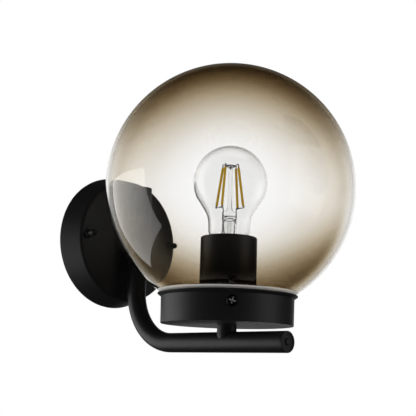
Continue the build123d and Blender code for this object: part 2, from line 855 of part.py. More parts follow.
bulb_insulator = turned(
    (
        (0, bulb_tip + contact_height),
        (contact_d / 2 + 0.6, bulb_tip + contact_height),
        (8.0 - fit_gap, cap_bottom - 0.4),
        (8.0 - fit_gap, cap_bottom + 1.0),
        (0, cap_bottom + 1.0),
    )
)
write(bulb_insulator, "bulb_insulator")

with BuildPart() as bulb_contact:
    with BuildSketch(Plane.XY.offset(bulb_tip)):
        with Locations((0, -cup_reach)):
            Circle(contact_d / 2)
    extrude(amount=contact_height - fit_gap)
    fillet(bulb_contact.edges().filter_by(GeomType.CIRCLE).group_by(Axis.Z)[0], 1.2)
write(bulb_contact, "bulb_contact")

# Glass mount inside the bulb: a flared tube, closed by a flat pinch, with a thin rod on top.
mount_turn = -31.0        # the pinch's width, from +X towards +Y
flare_r = 9.0
stem_r = 5.6
pinch_low = bulb_z - 30.0
pinch_top = bulb_z - 24.0
pinch_width = 11.0
pinch_thickness = 3.4
rod_r = 1.6
rod_top = bulb_z + 11.0


def mount_point(across, through, height):
    """A point in the bulb, from the width and depth of the pinch and the height."""
    turn = radians(mount_turn)
    return Vector(
        across * cos(turn) - through * sin(turn),
        -cup_reach + across * sin(turn) + through * cos(turn),
        height,
    )


mount_centre = Pos(0, -cup_reach) * Rot(0, 0, mount_turn)
with BuildPart() as bulb_stem:
    with BuildSketch(globe_plane):
        with BuildLine():
            Polyline(
                (0, glass_bottom + bulb_wall + 0.1),
                (flare_r, glass_bottom + bulb_wall + 0.1),
                (stem_r, glass_bottom + 8.0),
                (stem_r, pinch_low),
                (0, pinch_low),
                close=True,
            )
        make_face()
    revolve(axis=globe_axis)
    with BuildSketch(Plane.XY.offset(pinch_low)):
        with Locations((0, -cup_reach)):
            Circle(stem_r)
    with BuildSketch(Plane.XY.offset(pinch_top)):
        with Locations(mount_centre):
            RectangleRounded(pinch_width, pinch_thickness, pinch_thickness / 2 - 0.1)
    loft(ruled=True)
    with BuildSketch(Plane.XY.offset(pinch_top)):
        with Locations((0, -cup_reach)):
            Circle(rod_r)
    extrude(amount=rod_top - pinch_top)
write(bulb_stem, "bulb_stem")

# Four straight filaments, leaning outwards towards the foot like a tent.
filament_r = 0.9
filament_top = bulb_z + 12.6
filament_foot = bulb_z - 19.6
filament_top_half = 5.44  # half the side of the square that their tops stand on
filament_foot_half = 8.84
filament_corners = [(-1, -1), (-1, 1), (1, -1), (1, 1)]
with BuildPart() as bulb_filaments:
    for across, through in filament_corners:
        top_point = mount_point(
            across * filament_top_half, through * filament_top_half, filament_top
        )
        foot_point = mount_point(
            across * filament_foot_half, through * filament_foot_half, filament_foot
        )
        with BuildSketch(Plane(origin=foot_point, z_dir=top_point - foot_point)):
            Circle(filament_r)
        extrude(amount=(top_point - foot_point).length)
write(bulb_filaments, "bulb_filaments")

# Wire spider in the end of the rod: a ring with an arm over each filament.
support_r = 0.3
spider_ring_r = 3.6
spider_z = filament_top + 0.2
with BuildPart() as bulb_supports:
    with BuildSketch(Plane.XY.offset(spider_z)):
        with Locations((0, -cup_reach)):
            Circle(spider_ring_r + support_r)
            Circle(spider_ring_r - support_r, mode=Mode.SUBTRACT)
            for arm_turn in (45, 135):
                Rectangle(
                    2 * sqrt(2) * filament_top_half,
                    2 * support_r,
                    rotation=mount_turn + arm_turn,
                )
    extrude(amount=2 * support_r)
    with BuildSketch(Plane.XY.offset(rod_top + 0.05)):
        with Locations((0, -cup_reach)):
            Circle(0.5)
    extrude(amount=spider_z + support_r - rod_top)
write(bulb_supports, "bulb_supports")

# Two lead wires stand out of the pinch, each under a cross wire that carries two feet.
cross_z = filament_foot - 0.6
lead_half = 5.0
with BuildPart() as bulb_leads:
    for across in (-1, 1):
        with BuildLine() as lead_line:
            FilletPolyline(
                mount_point(across * lead_half, 0, pinch_top + 0.1),
                mount_point(across * lead_half, 0, cross_z),
                mount_point(across * filament_foot_half, 0, cross_z),
                radius=0.8,
            )
        with BuildSketch(Plane(origin=lead_line.line @ 0, z_dir=lead_line.line % 0)):
            Circle(support_r)
        sweep(path=lead_line.line)
        cross_start = mount_point(
            across * filament_foot_half, -filament_foot_half - 1.2, cross_z
        )
        cross_end = mount_point(
            across * filament_foot_half, filament_foot_half + 1.2, cross_z
        )
        with BuildSketch(Plane(origin=cross_start, z_dir=cross_end - cross_start)):
            Circle(support_r)
        extrude(amount=(cross_end - cross_start).length)
write(bulb_leads, "bulb_leads")

# ---------------------------------------------------------------- wires
wire_start = insert_floor - 1.6
turn_z = holder_floor + 12.0
block_pole_y = -pole_y


def wire(name, corners, radii):
    """A round insulated wire along straight runs joined by arcs."""
    with BuildPart() as insulated_wire:
        with BuildLine() as route:
            FilletPolyline(*corners, radius=radii)
        with BuildSketch(Plane(origin=route.line @ 0, z_dir=route.line % 0)):
            Circle(wire_d / 2)
        sweep(path=route.line)
    write(insulated_wire, name)


for name, side in (("live_wire", -1), ("neutral_wire", 1)):
    lane = side * wire_spread
    pole_x = -pole_pitch if side < 0 else 0
    wire(
        name,
        [
            (side * 9.0, -cup_reach, wire_start),
            (side * 9.0, -cup_reach, turn_z + 3.0),
            (lane, -cup_reach, turn_z - 3.0),
            (lane, -cup_reach, arm_z),
            (lane, -limb_reach, arm_z),
            (lane, -limb_reach, wire_boss_z),
            (lane, -9.6, wire_boss_z),
            (lane, -10.0, wire_boss_z + 14.0),
            (pole_x, block_pole_y, block_bottom - 7.0),
            (pole_x, block_pole_y, block_bottom + 6.0),
        ],
        [2.5, 3.0, 5.0, bend_radius, 5.0, 5.0, 5.0, 4.0],
    )

wire(
    "earth_wire",
    [
        (pole_pitch, block_pole_y, block_bottom + 6.0),
        (pole_pitch, block_pole_y, block_bottom - 6.0),
        (earth_x, -bar_thickness - tag_thickness - wire_d / 2 - 0.05, tag_top - 6.5),
        (earth_x, -bar_thickness - tag_thickness - wire_d / 2 - 0.05, tag_top - 7.5),
    ],
    [4.0, 0.5],
)
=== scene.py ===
import math

import bpy
from mathutils import Matrix, Vector


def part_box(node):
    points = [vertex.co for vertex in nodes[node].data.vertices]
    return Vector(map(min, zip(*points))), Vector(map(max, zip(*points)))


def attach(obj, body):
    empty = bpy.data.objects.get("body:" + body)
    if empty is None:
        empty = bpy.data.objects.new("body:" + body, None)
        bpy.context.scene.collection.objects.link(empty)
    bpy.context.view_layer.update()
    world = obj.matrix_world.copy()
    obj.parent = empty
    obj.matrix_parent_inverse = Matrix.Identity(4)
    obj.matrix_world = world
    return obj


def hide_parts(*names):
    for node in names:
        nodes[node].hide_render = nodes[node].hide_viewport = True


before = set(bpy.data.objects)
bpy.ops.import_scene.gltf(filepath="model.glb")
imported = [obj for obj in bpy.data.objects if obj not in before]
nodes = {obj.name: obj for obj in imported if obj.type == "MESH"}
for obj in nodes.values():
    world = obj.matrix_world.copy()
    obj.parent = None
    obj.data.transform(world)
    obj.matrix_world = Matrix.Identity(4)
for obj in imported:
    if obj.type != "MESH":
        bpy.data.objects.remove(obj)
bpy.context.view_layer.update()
scene = bpy.context.scene
bpy.ops.object.select_all(action="DESELECT")

# ---------------------------------------------------------------- camera
# A 68 mm lens below the lamp and to its left, tilted up 12 degrees and rolled under 2.
camera_place = Vector((-0.454114, -0.563154, -0.115738))
camera_turn = math.radians(45.772)
camera_tilt = math.radians(11.941)
camera_roll = math.radians(1.757)

forward = Vector(
    (
        math.sin(camera_turn) * math.cos(camera_tilt),
        math.cos(camera_turn) * math.cos(camera_tilt),
        math.sin(camera_tilt),
    )
)
level_right = forward.cross(Vector((0, 0, 1))).normalized()
level_up = level_right.cross(forward)
right = math.cos(camera_roll) * level_right + math.sin(camera_roll) * level_up
up = -math.sin(camera_roll) * level_right + math.cos(camera_roll) * level_up
camera_data = bpy.data.cameras.new("camera")
camera_data.lens = 67.87
camera_data.sensor_width = 36.0
camera_data.clip_start = 0.01
camera = bpy.data.objects.new("camera", camera_data)
camera.matrix_world = Matrix.Translation(camera_place) @ Matrix(
    (right, up, -forward)
).transposed().to_4x4()
scene.collection.objects.link(camera)
scene.camera = camera
scene.view_settings.view_transform = "Standard"

# ---------------------------------------------------------------- studio
# A white room with a dim ceiling and a dim end behind the camera, a large soft box to the
# left and a weaker one to the right, and a pale round table far below the lamp.
room_light = 0.8
dim_end = 0.03
view_through = 1.1
dim_ceiling = 0.07
dim_overhead = 0.12
lamp_middle = Vector((0.0, -0.10, 0.0))
box_distance = 1.2
table_height = -1.0
table_radius = 2.4


def linear(hex_colour):
    """An sRGB hex colour as linear red, green and blue, with full alpha."""
    colour = []
    for start in (1, 3, 5):
        level = int(hex_colour[start : start + 2], 16) / 255
        colour.append(level / 12.92 if level <= 0.04045 else ((level + 0.055) / 1.055) ** 2.4)
    return (*colour, 1.0)


def add_node(tree, kind, settings, inputs):
    """Add a node with its own settings, and set or link each of its inputs."""
    node = tree.nodes.new(kind)
    for name, value in settings.items():
        setattr(node, name, value)
    for socket, value in inputs.items():
        if isinstance(value, bpy.types.NodeSocket):
            tree.links.new(value, node.inputs[socket])
        else:
            node.inputs[socket].default_value = value
    return node


smooth = {"interpolation_type": "SMOOTHSTEP"}
world = bpy.data.worlds.new("studio")
scene.world = world
world.use_nodes = True
room = world.node_tree
room.nodes.clear()
looking = add_node(room, "ShaderNodeTexCoord", {}, {})
looking_up = add_node(room, "ShaderNodeSeparateXYZ", {}, {"Vector": looking.outputs["Generated"]})
ceiling = add_node(
    room, "ShaderNodeMapRange", smooth,
    {
        "Value": looking_up.outputs["Z"],
        "From Min": 0.24, "From Max": 0.48, "To Min": 1.0, "To Max": dim_ceiling,
    },
)
low_down = add_node(
    room, "ShaderNodeMapRange", smooth,
    {
        "Value": looking_up.outputs["Z"],
        "From Min": -0.30, "From Max": -0.02, "To Min": 0.35, "To Max": 1.0,
    },
)
level = add_node(
    room, "ShaderNodeMath", {"operation": "MULTIPLY"},
    {0: ceiling.outputs["Result"], 1: low_down.outputs["Result"]},
)
overhead = add_node(
    room, "ShaderNodeMapRange", smooth,
    {
        "Value": looking_up.outputs["Z"],
        "From Min": 0.35, "From Max": 0.85, "To Min": view_through, "To Max": dim_overhead,
    },
)
to_camera_end = add_node(
    room, "ShaderNodeVectorMath", {"operation": "DOT_PRODUCT"},
    {0: looking.outputs["Generated"], 1: -forward},
)
back_wall = add_node(
    room, "ShaderNodeMapRange", smooth,
    {
        "Value": to_camera_end.outputs["Value"],
        "From Min": -0.94, "From Max": -0.78, "To Min": 1.0, "To Max": dim_end,
    },
)
mirrored = add_node(
    room, "ShaderNodeMath", {"operation": "MULTIPLY"},
    {0: back_wall.outputs["Result"], 1: level.outputs["Value"]},
)
ray = add_node(room, "ShaderNodeLightPath", {}, {})
# Light that glass throws back inside its wall meets the dim end too, from further round.
far_half = add_node(
    room, "ShaderNodeMapRange", smooth,
    {
        "Value": to_camera_end.outputs["Value"],
        "From Min": -0.3, "From Max": 0.2, "To Min": 1.0, "To Max": dim_end,
    },
)
thrown_back = add_node(
    room, "ShaderNodeMath", {"operation": "MINIMUM"}, {0: ray.outputs["Glossy Depth"], 1: 1.0}
)
end_share = add_node(
    room, "ShaderNodeMix", {"data_type": "FLOAT"},
    {0: thrown_back.outputs["Value"], 2: 1.0, 3: far_half.outputs["Result"]},
)
bent = add_node(
    room, "ShaderNodeMath", {"operation": "MULTIPLY"},
    {0: end_share.outputs[0], 1: overhead.outputs["Result"]},
)
lit = add_node(
    room, "ShaderNodeMix", {"data_type": "FLOAT"},
    {0: ray.outputs["Is Glossy Ray"], 2: room_light, 3: mirrored.outputs["Value"]},
)
through = add_node(
    room, "ShaderNodeMix", {"data_type": "FLOAT"},
    {0: ray.outputs["Is Transmission Ray"], 2: lit.outputs[0], 3: bent.outputs["Value"]},
)
seen = add_node(
    room, "ShaderNodeMix", {"data_type": "FLOAT"},
    {0: ray.outputs["Is Camera Ray"], 2: through.outputs[0], 3: 1.0},
)
white_room = add_node(
    room, "ShaderNodeBackground", {},
    {"Color": (1.0, 1.0, 1.0, 1.0), "Strength": seen.outputs[0]},
)
add_node(room, "ShaderNodeOutputWorld", {}, {"Surface": white_room.outputs["Background"]})

for name, turn, rise, wide, tall, watts in (
    ("left_soft_box", 76, -0.25, 1.25, 1.1, 7.6),
    ("right_soft_box", -112, 0.10, 0.78, 1.0, 1.9),
):
    heading = math.pi / 2 - camera_turn + math.radians(turn)
    place = lamp_middle + Vector(
        (box_distance * math.cos(heading), box_distance * math.sin(heading), rise)
    )
    bpy.ops.object.light_add(type="AREA", location=place)
    soft_box = bpy.context.object
    soft_box.name = name
    soft_box.rotation_euler = (lamp_middle - place).to_track_quat("-Z", "Y").to_euler()
    soft_box.data.shape = "RECTANGLE"
    soft_box.data.size = wide
    soft_box.data.size_y = tall
    soft_box.data.energy = watts
    soft_box.visible_camera = False
    soft_box.visible_transmission = False

bpy.ops.object.select_all(action="DESELECT")
bpy.ops.mesh.primitive_circle_add(
    vertices=96, radius=table_radius, fill_type="NGON",
    location=(0, lamp_middle.y, table_height),
)
table = bpy.context.object
table.name = "table"
paper = bpy.data.materials.new("white_paper_sweep")
paper.use_nodes = True
tree = paper.node_tree
tree.nodes.clear()
coords = add_node(tree, "ShaderNodeTexCoord", {}, {})
from_middle = add_node(
    tree, "ShaderNodeVectorMath", {"operation": "LENGTH"}, {0: coords.outputs["Object"]}
)
paper_edge = add_node(
    tree, "ShaderNodeMapRange", smooth,
    {"Value": from_middle.outputs["Value"], "From Min": 0.5, "From Max": 1.7},
)
ray = add_node(tree, "ShaderNodeLightPath", {}, {})
matt = add_node(tree, "ShaderNodeBsdfDiffuse", {}, {"Color": linear("#f1f1ee")})
white = add_node(tree, "ShaderNodeEmission", {}, {"Strength": 1.0})
fading = add_node(
    tree, "ShaderNodeMath", {"operation": "MULTIPLY"},
    {0: paper_edge.outputs["Result"], 1: ray.outputs["Is Camera Ray"]},
)
sweep = add_node(
    tree, "ShaderNodeMixShader", {},
    {0: fading.outputs["Value"], 1: matt.outputs["BSDF"], 2: white.outputs["Emission"]},
)
add_node(tree, "ShaderNodeOutputMaterial", {}, {"Surface": sweep.outputs["Shader"]})
table.data.materials.append(paper)
table.visible_glossy = False
table.visible_transmission = False

# ---------------------------------------------------------------- wall bracket
# A strip of 1.5 mm steel, punched and bright zinc plated, screwed to the wall. It carries
# two M4 studs with nuts, and shows the faint streaks of rolled sheet under the plating.
stud_thread = 0.0007
stud_thread_depth = 0.00038


def start_finish(name, constants):
    """A new material, its node tree, its main shader with constants, and where it is."""
    finish = bpy.data.materials.new(name)
    finish.use_nodes = True
    shader = finish.node_tree.nodes["Principled BSDF"]
    for socket, value in constants.items():
        shader.inputs[socket].default_value = value
    coords = add_node(finish.node_tree, "ShaderNodeTexCoord", {}, {})
    return finish, finish.node_tree, shader, coords.outputs["Object"]


def patterned(tree, shader, tones, dark, pale, gloss=None, relief=None):
    """Mix two colours by a pattern, and let patterns vary the gloss and raise the skin."""
    colours = add_node(
        tree, "ShaderNodeMix", {"data_type": "RGBA"}, {0: tones, 6: linear(dark), 7: linear(pale)}
    )
    tree.links.new(colours.outputs[2], shader.inputs["Base Color"])
    if gloss:
        pattern, low, high = gloss
        polish = add_node(
            tree, "ShaderNodeMapRange", {}, {"Value": pattern, "To Min": low, "To Max": high}
        )
        tree.links.new(polish.outputs["Result"], shader.inputs["Roughness"])
    if relief:
        pattern, strength, distance = relief
        skin = add_node(
            tree, "ShaderNodeBump", {},
            {"Height": pattern, "Strength": strength, "Distance": distance},
        )
        tree.links.new(skin.outputs["Normal"], shader.inputs["Normal"])


def coat(finish, *names):
    """Give CAD nodes a finish."""
    for name in names:
        nodes[name].data.materials.clear()
        nodes[name].data.materials.append(finish)


zinc_plate, tree, shader, place = start_finish("bright_zinc_plated_steel", {"Metallic": 1.0})
# Streaks of rolling 8 mm long and 0.7 mm apart.
rolled = add_node(
    tree, "ShaderNodeMapping", {}, {"Vector": place, "Scale": (120.0, 120.0, 1400.0)}
)
streaks = add_node(
    tree, "ShaderNodeTexNoise", {},
    {"Vector": rolled.outputs["Vector"], "Scale": 1.0, "Detail": 4.0},
)
# Plating clouds about 4 mm across.
clouds = add_node(tree, "ShaderNodeTexNoise", {}, {"Vector": place, "Scale": 250.0, "Detail": 3.0})
patterned(
    tree, shader, clouds.outputs["Fac"], "#a9aeb2", "#d2d6d8",
    gloss=(streaks.outputs["Fac"], 0.24, 0.46), relief=(streaks.outputs["Fac"], 0.25, 0.00005),
)
coat(
    zinc_plate,
    "wall_bracket", "stud_nuts", "terminal_screws", "block_screw",
    "arm_lock_washer", "arm_nut", "arm_screw", "arm_screw_washer",
    "cup_washer", "cup_nut",
)


def begun(name):
    """Name the primitive just added, and keep its place in its mesh."""
    piece = bpy.context.object
    piece.name = name
    bpy.ops.object.transform_apply(location=True, rotation=True, scale=True)
    return piece


def only(piece):
    """Select this piece alone and make it the active one."""
    bpy.ops.object.select_all(action="DESELECT")
    piece.select_set(True)
    bpy.context.view_layer.objects.active = piece


def rings_up(piece, count):
    """Divide the long edges of an upright tube into rings."""
    heights = [vertex.co.z for vertex in piece.data.vertices]
    half = (max(heights) - min(heights)) / 2
    bpy.ops.object.mode_set(mode="EDIT")
    bpy.ops.mesh.select_mode(type="EDGE")
    bpy.ops.mesh.select_all(action="DESELECT")
    bpy.ops.object.mode_set(mode="OBJECT")
    for edge in piece.data.edges:
        one, other = (piece.data.vertices[i].co.z for i in edge.vertices)
        edge.select = abs(one - other) > half
    bpy.ops.object.mode_set(mode="EDIT")
    bpy.ops.mesh.subdivide_edgering(number_cuts=count, interpolation="LINEAR", smoothness=0)
    bpy.ops.object.mode_set(mode="OBJECT")


def threaded_rod(name, radius, low, high, pitch, depth, sides=24, ends="NGON"):
    """A rod up the Z axis with a cut thread that runs out at both ends."""
    turn_rings = 6
    bpy.ops.object.select_all(action="DESELECT")
    bpy.ops.mesh.primitive_cylinder_add(
        vertices=sides, radius=radius, depth=high - low, end_fill_type=ends,
        location=(0, 0, (low + high) / 2),
    )
    rod = begun(name)
    rings_up(rod, int((high - low) / pitch * turn_rings))
    for vertex in rod.data.vertices:
        x, y, z = vertex.co
        turns = z / pitch - math.atan2(y, x) / math.tau
        crest = 1 - abs(2 * (turns % 1) - 1)
        run_out = min(1.0, (z - low) / pitch, (high - z) / pitch)
        reach = radius - depth + depth * crest * run_out
        vertex.co.x = x * reach / radius
        vertex.co.y = y * reach / radius
    return rod


def settle(piece, place=(0, 0, 0), turn=(0, 0, 0)):
    """Turn a finished shape and put it in its place, with its origin back at the lamp's."""
    only(piece)
    piece.rotation_euler = turn
    piece.location = place
    bpy.ops.object.transform_apply(location=True, rotation=True, scale=True)
    bpy.ops.object.shade_smooth_by_angle(angle=math.radians(35))


stud_low, stud_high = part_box("bracket_studs")
stud_radius = (stud_high.z - stud_low.z) / 2
for side, stud_x in (("left", stud_low.x + stud_radius), ("right", stud_high.x - stud_radius)):
    stud = threaded_rod(
        f"{side}_stud", stud_radius, 0, stud_high.y - stud_low.y, stud_thread, stud_thread_depth
    )
    settle(stud, (stud_x, 0, 0), (math.pi / 2, 0, 0))
    stud.data.materials.append(zinc_plate)
    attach(stud, "lamp")
    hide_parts("bracket_studs")

# ---------------------------------------------------------------- wall plate
# A pressed steel pan with a drafted side and a rounded front edge. Its matt black powder
# coat has a fine orange peel, and is what the arm and the cup are finished in too.
powder_coat, tree, shader, place = start_finish("matt_black_powder_coat", {"IOR": 1.5})
# Orange peel of 0.8 mm, drawn at 1.6 mm so that it shows.
peel = add_node(tree, "ShaderNodeTexNoise", {}, {"Vector": place, "Scale": 620.0, "Detail": 2.0})
# Thickness of the coat varies over about 20 mm.
flow = add_node(tree, "ShaderNodeTexNoise", {}, {"Vector": place, "Scale": 50.0, "Detail": 2.0})
patterned(
    tree, shader, flow.outputs["Fac"], "#0b0b0c", "#111113",
    gloss=(flow.outputs["Fac"], 0.42, 0.52), relief=(peel.outputs["Fac"], 0.12, 0.0001),
)
coat(powder_coat, "wall_plate", "cap_nuts")

# ---------------------------------------------------------------- plate gasket
# A ring of self-adhesive black foam on the back of the pan, with closed cells of half a
# millimetre that show on its cut edge.
cell_foam, tree, shader, place = start_finish("closed_cell_foam", {"Roughness": 0.92})
cells = add_node(tree, "ShaderNodeTexVoronoi", {}, {"Vector": place, "Scale": 1800.0})
patterned(
    tree, shader, cells.outputs["Distance"], "#121213", "#26262a",
    relief=(cells.outputs["Distance"], 0.5, 0.0002),
)
coat(cell_foam, "plate_gasket")

# ---------------------------------------------------------------- terminals
# A three-pole block moulded in natural polyamide, with brass tubes that the zinc plated
# screws clamp on the wires. The earth wire ends in a tag under a brass screw.
polyamide, tree, shader, place = start_finish(
    "natural_polyamide",
    {"Roughness": 0.42, "Subsurface Weight": 0.12, "Subsurface Radius": (0.002, 0.0016, 0.0012)},
)
# Flow marks about 6 mm long.
flow = add_node(tree, "ShaderNodeTexNoise", {}, {"Vector": place, "Scale": 160.0, "Detail": 3.0})
patterned(
    tree, shader, flow.outputs["Fac"], "#dcd8cc", "#f0ede4",
    relief=(flow.outputs["Fac"], 0.1, 0.0001),
)
coat(polyamide, "terminal_block")

plain_brass, tree, shader, place = start_finish("turned_brass", {"Metallic": 1.0})
# Tool marks and the first brown tarnish, in patches of 2 mm.
tarnish = add_node(tree, "ShaderNodeTexNoise", {}, {"Vector": place, "Scale": 500.0, "Detail": 4.0})
patterned(
    tree, shader, tarnish.outputs["Fac"], "#b98f45", "#e6c67c",
    gloss=(tarnish.outputs["Fac"], 0.36, 0.2), relief=(tarnish.outputs["Fac"], 0.12, 0.00005),
)
coat(
    plain_brass,
    "terminal_clamps", "earth_screw", "earth_tag", "holder_contact", "holder_terminal_screws",
)

# ---------------------------------------------------------------- wires
# Stranded copper wires in smooth PVC: brown live, blue neutral, green and yellow earth.
# The strands press through the skin as a faint ripple of 1.1 mm.
for finish_name, wire_node, skin_dark, skin_pale in (
    ("brown_pvc", "live_wire", "#4a2914", "#5f3820"),
    ("blue_pvc", "neutral_wire", "#143f86", "#1f56a8"),
    ("green_yellow_pvc", "earth_wire", "#1f7a34", "#e0c21f"),
):
    pvc, tree, shader, place = start_finish(finish_name, {"Roughness": 0.34})
    if wire_node == "earth_wire":
        # A green and a yellow stripe run along the wire, each over half of its skin.
        facing = add_node(tree, "ShaderNodeNewGeometry", {}, {})
        around = add_node(
            tree, "ShaderNodeSeparateXYZ", {}, {"Vector": facing.outputs["True Normal"]}
        )
        stripe = add_node(
            tree, "ShaderNodeMath", {"operation": "GREATER_THAN"},
            {0: around.outputs["X"], 1: 0.0},
        )
        shade = stripe.outputs["Value"]
    else:
        ripple = add_node(
            tree, "ShaderNodeTexNoise", {}, {"Vector": place, "Scale": 300.0, "Detail": 2.0}
        )
        shade = ripple.outputs["Fac"]
    strands = add_node(tree, "ShaderNodeTexNoise", {}, {"Vector": place, "Scale": 900.0})
    patterned(
        tree, shader, shade, skin_dark, skin_pale,
        relief=(strands.outputs["Fac"], 0.15, 0.00008),
    )
    coat(pvc, wire_node)

# ---------------------------------------------------------------- arm
# One length of 16 mm steel tube, bent cold to a quarter circle and powder coated. Two
# short coped bosses hold it off the plate, and a moulded plug closes each end.
coat(powder_coat, "arm_tube", "wire_boss", "screw_boss", "stem_boss")

black_nylon, tree, shader, place = start_finish("moulded_black_nylon", {})
# Spark-eroded mould texture of 0.3 mm, drawn at 1 mm so that it shows.
sparked = add_node(
    tree, "ShaderNodeTexNoise", {}, {"Vector": place, "Scale": 1000.0, "Detail": 3.0}
)
patterned(
    tree, shader, sparked.outputs["Fac"], "#0c0c0d", "#141415",
    gloss=(sparked.outputs["Fac"], 0.34, 0.5), relief=(sparked.outputs["Fac"], 0.15, 0.0001),
)
coat(
    black_nylon,
    "limb_end_cap", "arm_end_cap", "nipple_bush",
    "screw_pad_1", "screw_pad_2", "screw_pad_3",
)

# ---------------------------------------------------------------- nipples
# M10 x 1 hollow nipples of zinc plated steel. One carries the wires from the limb into the
# plate, the other stands on the level limb and holds boss, cup and lampholder together.
nipple_radius = 0.005
nipple_thread = 0.001
nipple_thread_depth = 0.0005
nipple_bore = 0.0037


def open_ring(piece, height):
    """Go into edit mode with only the ring of edges at this height selected."""
    bpy.ops.object.mode_set(mode="EDIT")
    bpy.ops.mesh.select_mode(type="EDGE")
    bpy.ops.mesh.select_all(action="DESELECT")
    bpy.ops.object.mode_set(mode="OBJECT")
    for edge in piece.data.edges:
        edge.select = all(abs(piece.data.vertices[i].co.z - height) < 1e-5 for i in edge.vertices)
    bpy.ops.object.mode_set(mode="EDIT")


arm_low, arm_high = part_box("arm_nipple")
holder_low, holder_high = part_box("holder_nipple")
end_face = nipple_bore / (nipple_radius - nipple_thread_depth)
for name, node, length, at, turn in (
    (
        "wire_nipple", "arm_nipple", arm_high.y - arm_low.y,
        (0, arm_high.y, (arm_low.z + arm_high.z) / 2), (math.pi / 2, 0, 0),
    ),
    (
        "cup_nipple", "holder_nipple", holder_high.z - holder_low.z,
        (0, (holder_low.y + holder_high.y) / 2, holder_low.z), (0, 0, 0),
    ),
):
    nipple = threaded_rod(
        name, nipple_radius, 0, length, nipple_thread, nipple_thread_depth, 36, "NOTHING"
    )
    for end in (0, length):
        open_ring(nipple, end)
        bpy.ops.mesh.extrude_edges_move()
        bpy.ops.transform.resize(value=(end_face, end_face, 1), center_override=(0, 0, end))
        if end == 0:
            # The bore stops just short of the far end, where merging the doubles closes it.
            bpy.ops.mesh.extrude_edges_move(
                TRANSFORM_OT_translate={"value": (0, 0, length * 0.999)}
            )
    bpy.ops.mesh.select_all(action="SELECT")
    bpy.ops.mesh.remove_doubles(threshold=0.00005)
    bpy.ops.mesh.normals_make_consistent(inside=False)
    bpy.ops.object.mode_set(mode="OBJECT")
    settle(nipple, at, turn)
    nipple.data.materials.append(zinc_plate)
    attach(nipple, "lamp")
    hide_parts(node)

# ---------------------------------------------------------------- cup
# A spun steel cup with a flared rim, powder coated like the arm, with three threaded
# collars riveted in its wall. A clear silicone ring on its floor carries the glass.
coat(powder_coat, "gallery_cup", "clamp_collars")

silicone, tree, shader, place = start_finish(
    "clear_silicone", {"Roughness": 0.38, "IOR": 1.41, "Transmission Weight": 0.45}
)
# Milky clouds about 3 mm across.
milk = add_node(tree, "ShaderNodeTexNoise", {}, {"Vector": place, "Scale": 330.0, "Detail": 2.0})
patterned(
    tree, shader, milk.outputs["Fac"], "#c9ccc8", "#e4e6e2",
    relief=(milk.outputs["Fac"], 0.1, 0.0001),
)
coat(silicone, "globe_seal")

# ---------------------------------------------------------------- lampholder
# A tall plain sleeve of black thermoplastic hides the holder. Inside are a moulded base, a
# steatite insert, a rolled brass screw shell and a sprung brass tongue.
coat(black_nylon, "holder_sleeve", "holder_base")

steatite, tree, shader, place = start_finish("glazed_steatite", {"Roughness": 0.3})
# Pressed grains of 0.7 mm under a thin glaze.
grains = add_node(tree, "ShaderNodeTexVoronoi", {}, {"Vector": place, "Scale": 1400.0})
patterned(
    tree, shader, grains.outputs["Distance"], "#e2ddd0", "#f4f1e8",
    relief=(grains.outputs["Distance"], 0.08, 0.0001),
)
coat(steatite, "holder_insert")

# The E27 thread: 3.629 mm pitch, rolled round. Shell and cap share one helix, so that a
# turn of the bulb lifts it by one pitch and the two never touch.
cap_pitch = 0.003629
cap_wave = 0.00042
cap_sheet = 0.0003
globe_axis = (0, -0.1455, 0)


def rolled_thread(name, low, high, reach_at):
    """A thin tube up the Z axis whose radius at each height and angle is given."""
    plain_radius = 0.013
    ring_step = 0.0003
    bpy.ops.object.select_all(action="DESELECT")
    bpy.ops.mesh.primitive_cylinder_add(
        vertices=72, radius=plain_radius, depth=high - low, end_fill_type="NOTHING",
        location=(0, 0, (low + high) / 2),
    )
    tube = begun(name)
    rings_up(tube, int((high - low) / ring_step))
    for vertex in tube.data.vertices:
        x, y, z = vertex.co
        wave = math.cos(math.tau * z / cap_pitch - math.atan2(y, x))
        reach = reach_at(z, wave)
        vertex.co.x = x * reach / plain_radius
        vertex.co.y = y * reach / plain_radius
    return tube


def ramp(value, start, stop):
    """0 before start and 1 after stop, with a smooth rise between them."""
    share = min(max((value - start) / (stop - start), 0), 1)
    return share * share * (3 - 2 * share)


def thicken(piece, wall, side):
    """Give a shell its wall, inwards at side -1 and outwards at side 1."""
    only(piece)
    wall_modifier = piece.modifiers.new("wall", "SOLIDIFY")
    wall_modifier.thickness = wall
    wall_modifier.offset = side
    wall_modifier.use_even_offset = True
    bpy.ops.object.modifier_apply(modifier="wall")


shell_radius = 0.01315
shell_plain = 0.003
shell_lip = 0.0003
shell_low, shell_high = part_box("holder_shell")
screw_shell = rolled_thread(
    "screw_shell", shell_low.z, shell_high.z,
    lambda z, wave: shell_radius
    + cap_wave * wave * ramp(z, shell_low.z, shell_low.z + shell_plain)
    * ramp(z, shell_high.z, shell_high.z - shell_plain)
    + shell_lip * ramp(z, shell_high.z - shell_plain, shell_high.z),
)
thicken(screw_shell, cap_sheet, 1)
settle(screw_shell, globe_axis)
screw_shell.data.materials.append(plain_brass)
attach(screw_shell, "lamp")
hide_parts("holder_shell")

# ---------------------------------------------------------------- clamp screws
# Three M4 pan-head screws of blackened steel with a cross recess. The driver has worn the
# black off the recess, and that bare metal is painted pale and half matt so that it catches
# light: partly wear, partly a painted highlight for the glints in the recess.
black_steel, tree, shader, place = start_finish(
    "blackened_steel", {"Metallic": 1.0, "Roughness": 0.38}
)
# Blacking clouds about 2 mm across.
blacking = add_node(
    tree, "ShaderNodeTexNoise", {}, {"Vector": place, "Scale": 500.0, "Detail": 3.0}
)
patterned(
    tree, shader, blacking.outputs["Fac"], "#1c1c1f", "#2c2c30",
    relief=(blacking.outputs["Fac"], 0.2, 0.0001),
)

worn_glinting_steel, tree, shader, place = start_finish(
    "worn_steel_painted_glints", {"Metallic": 0.3, "Roughness": 0.5}
)
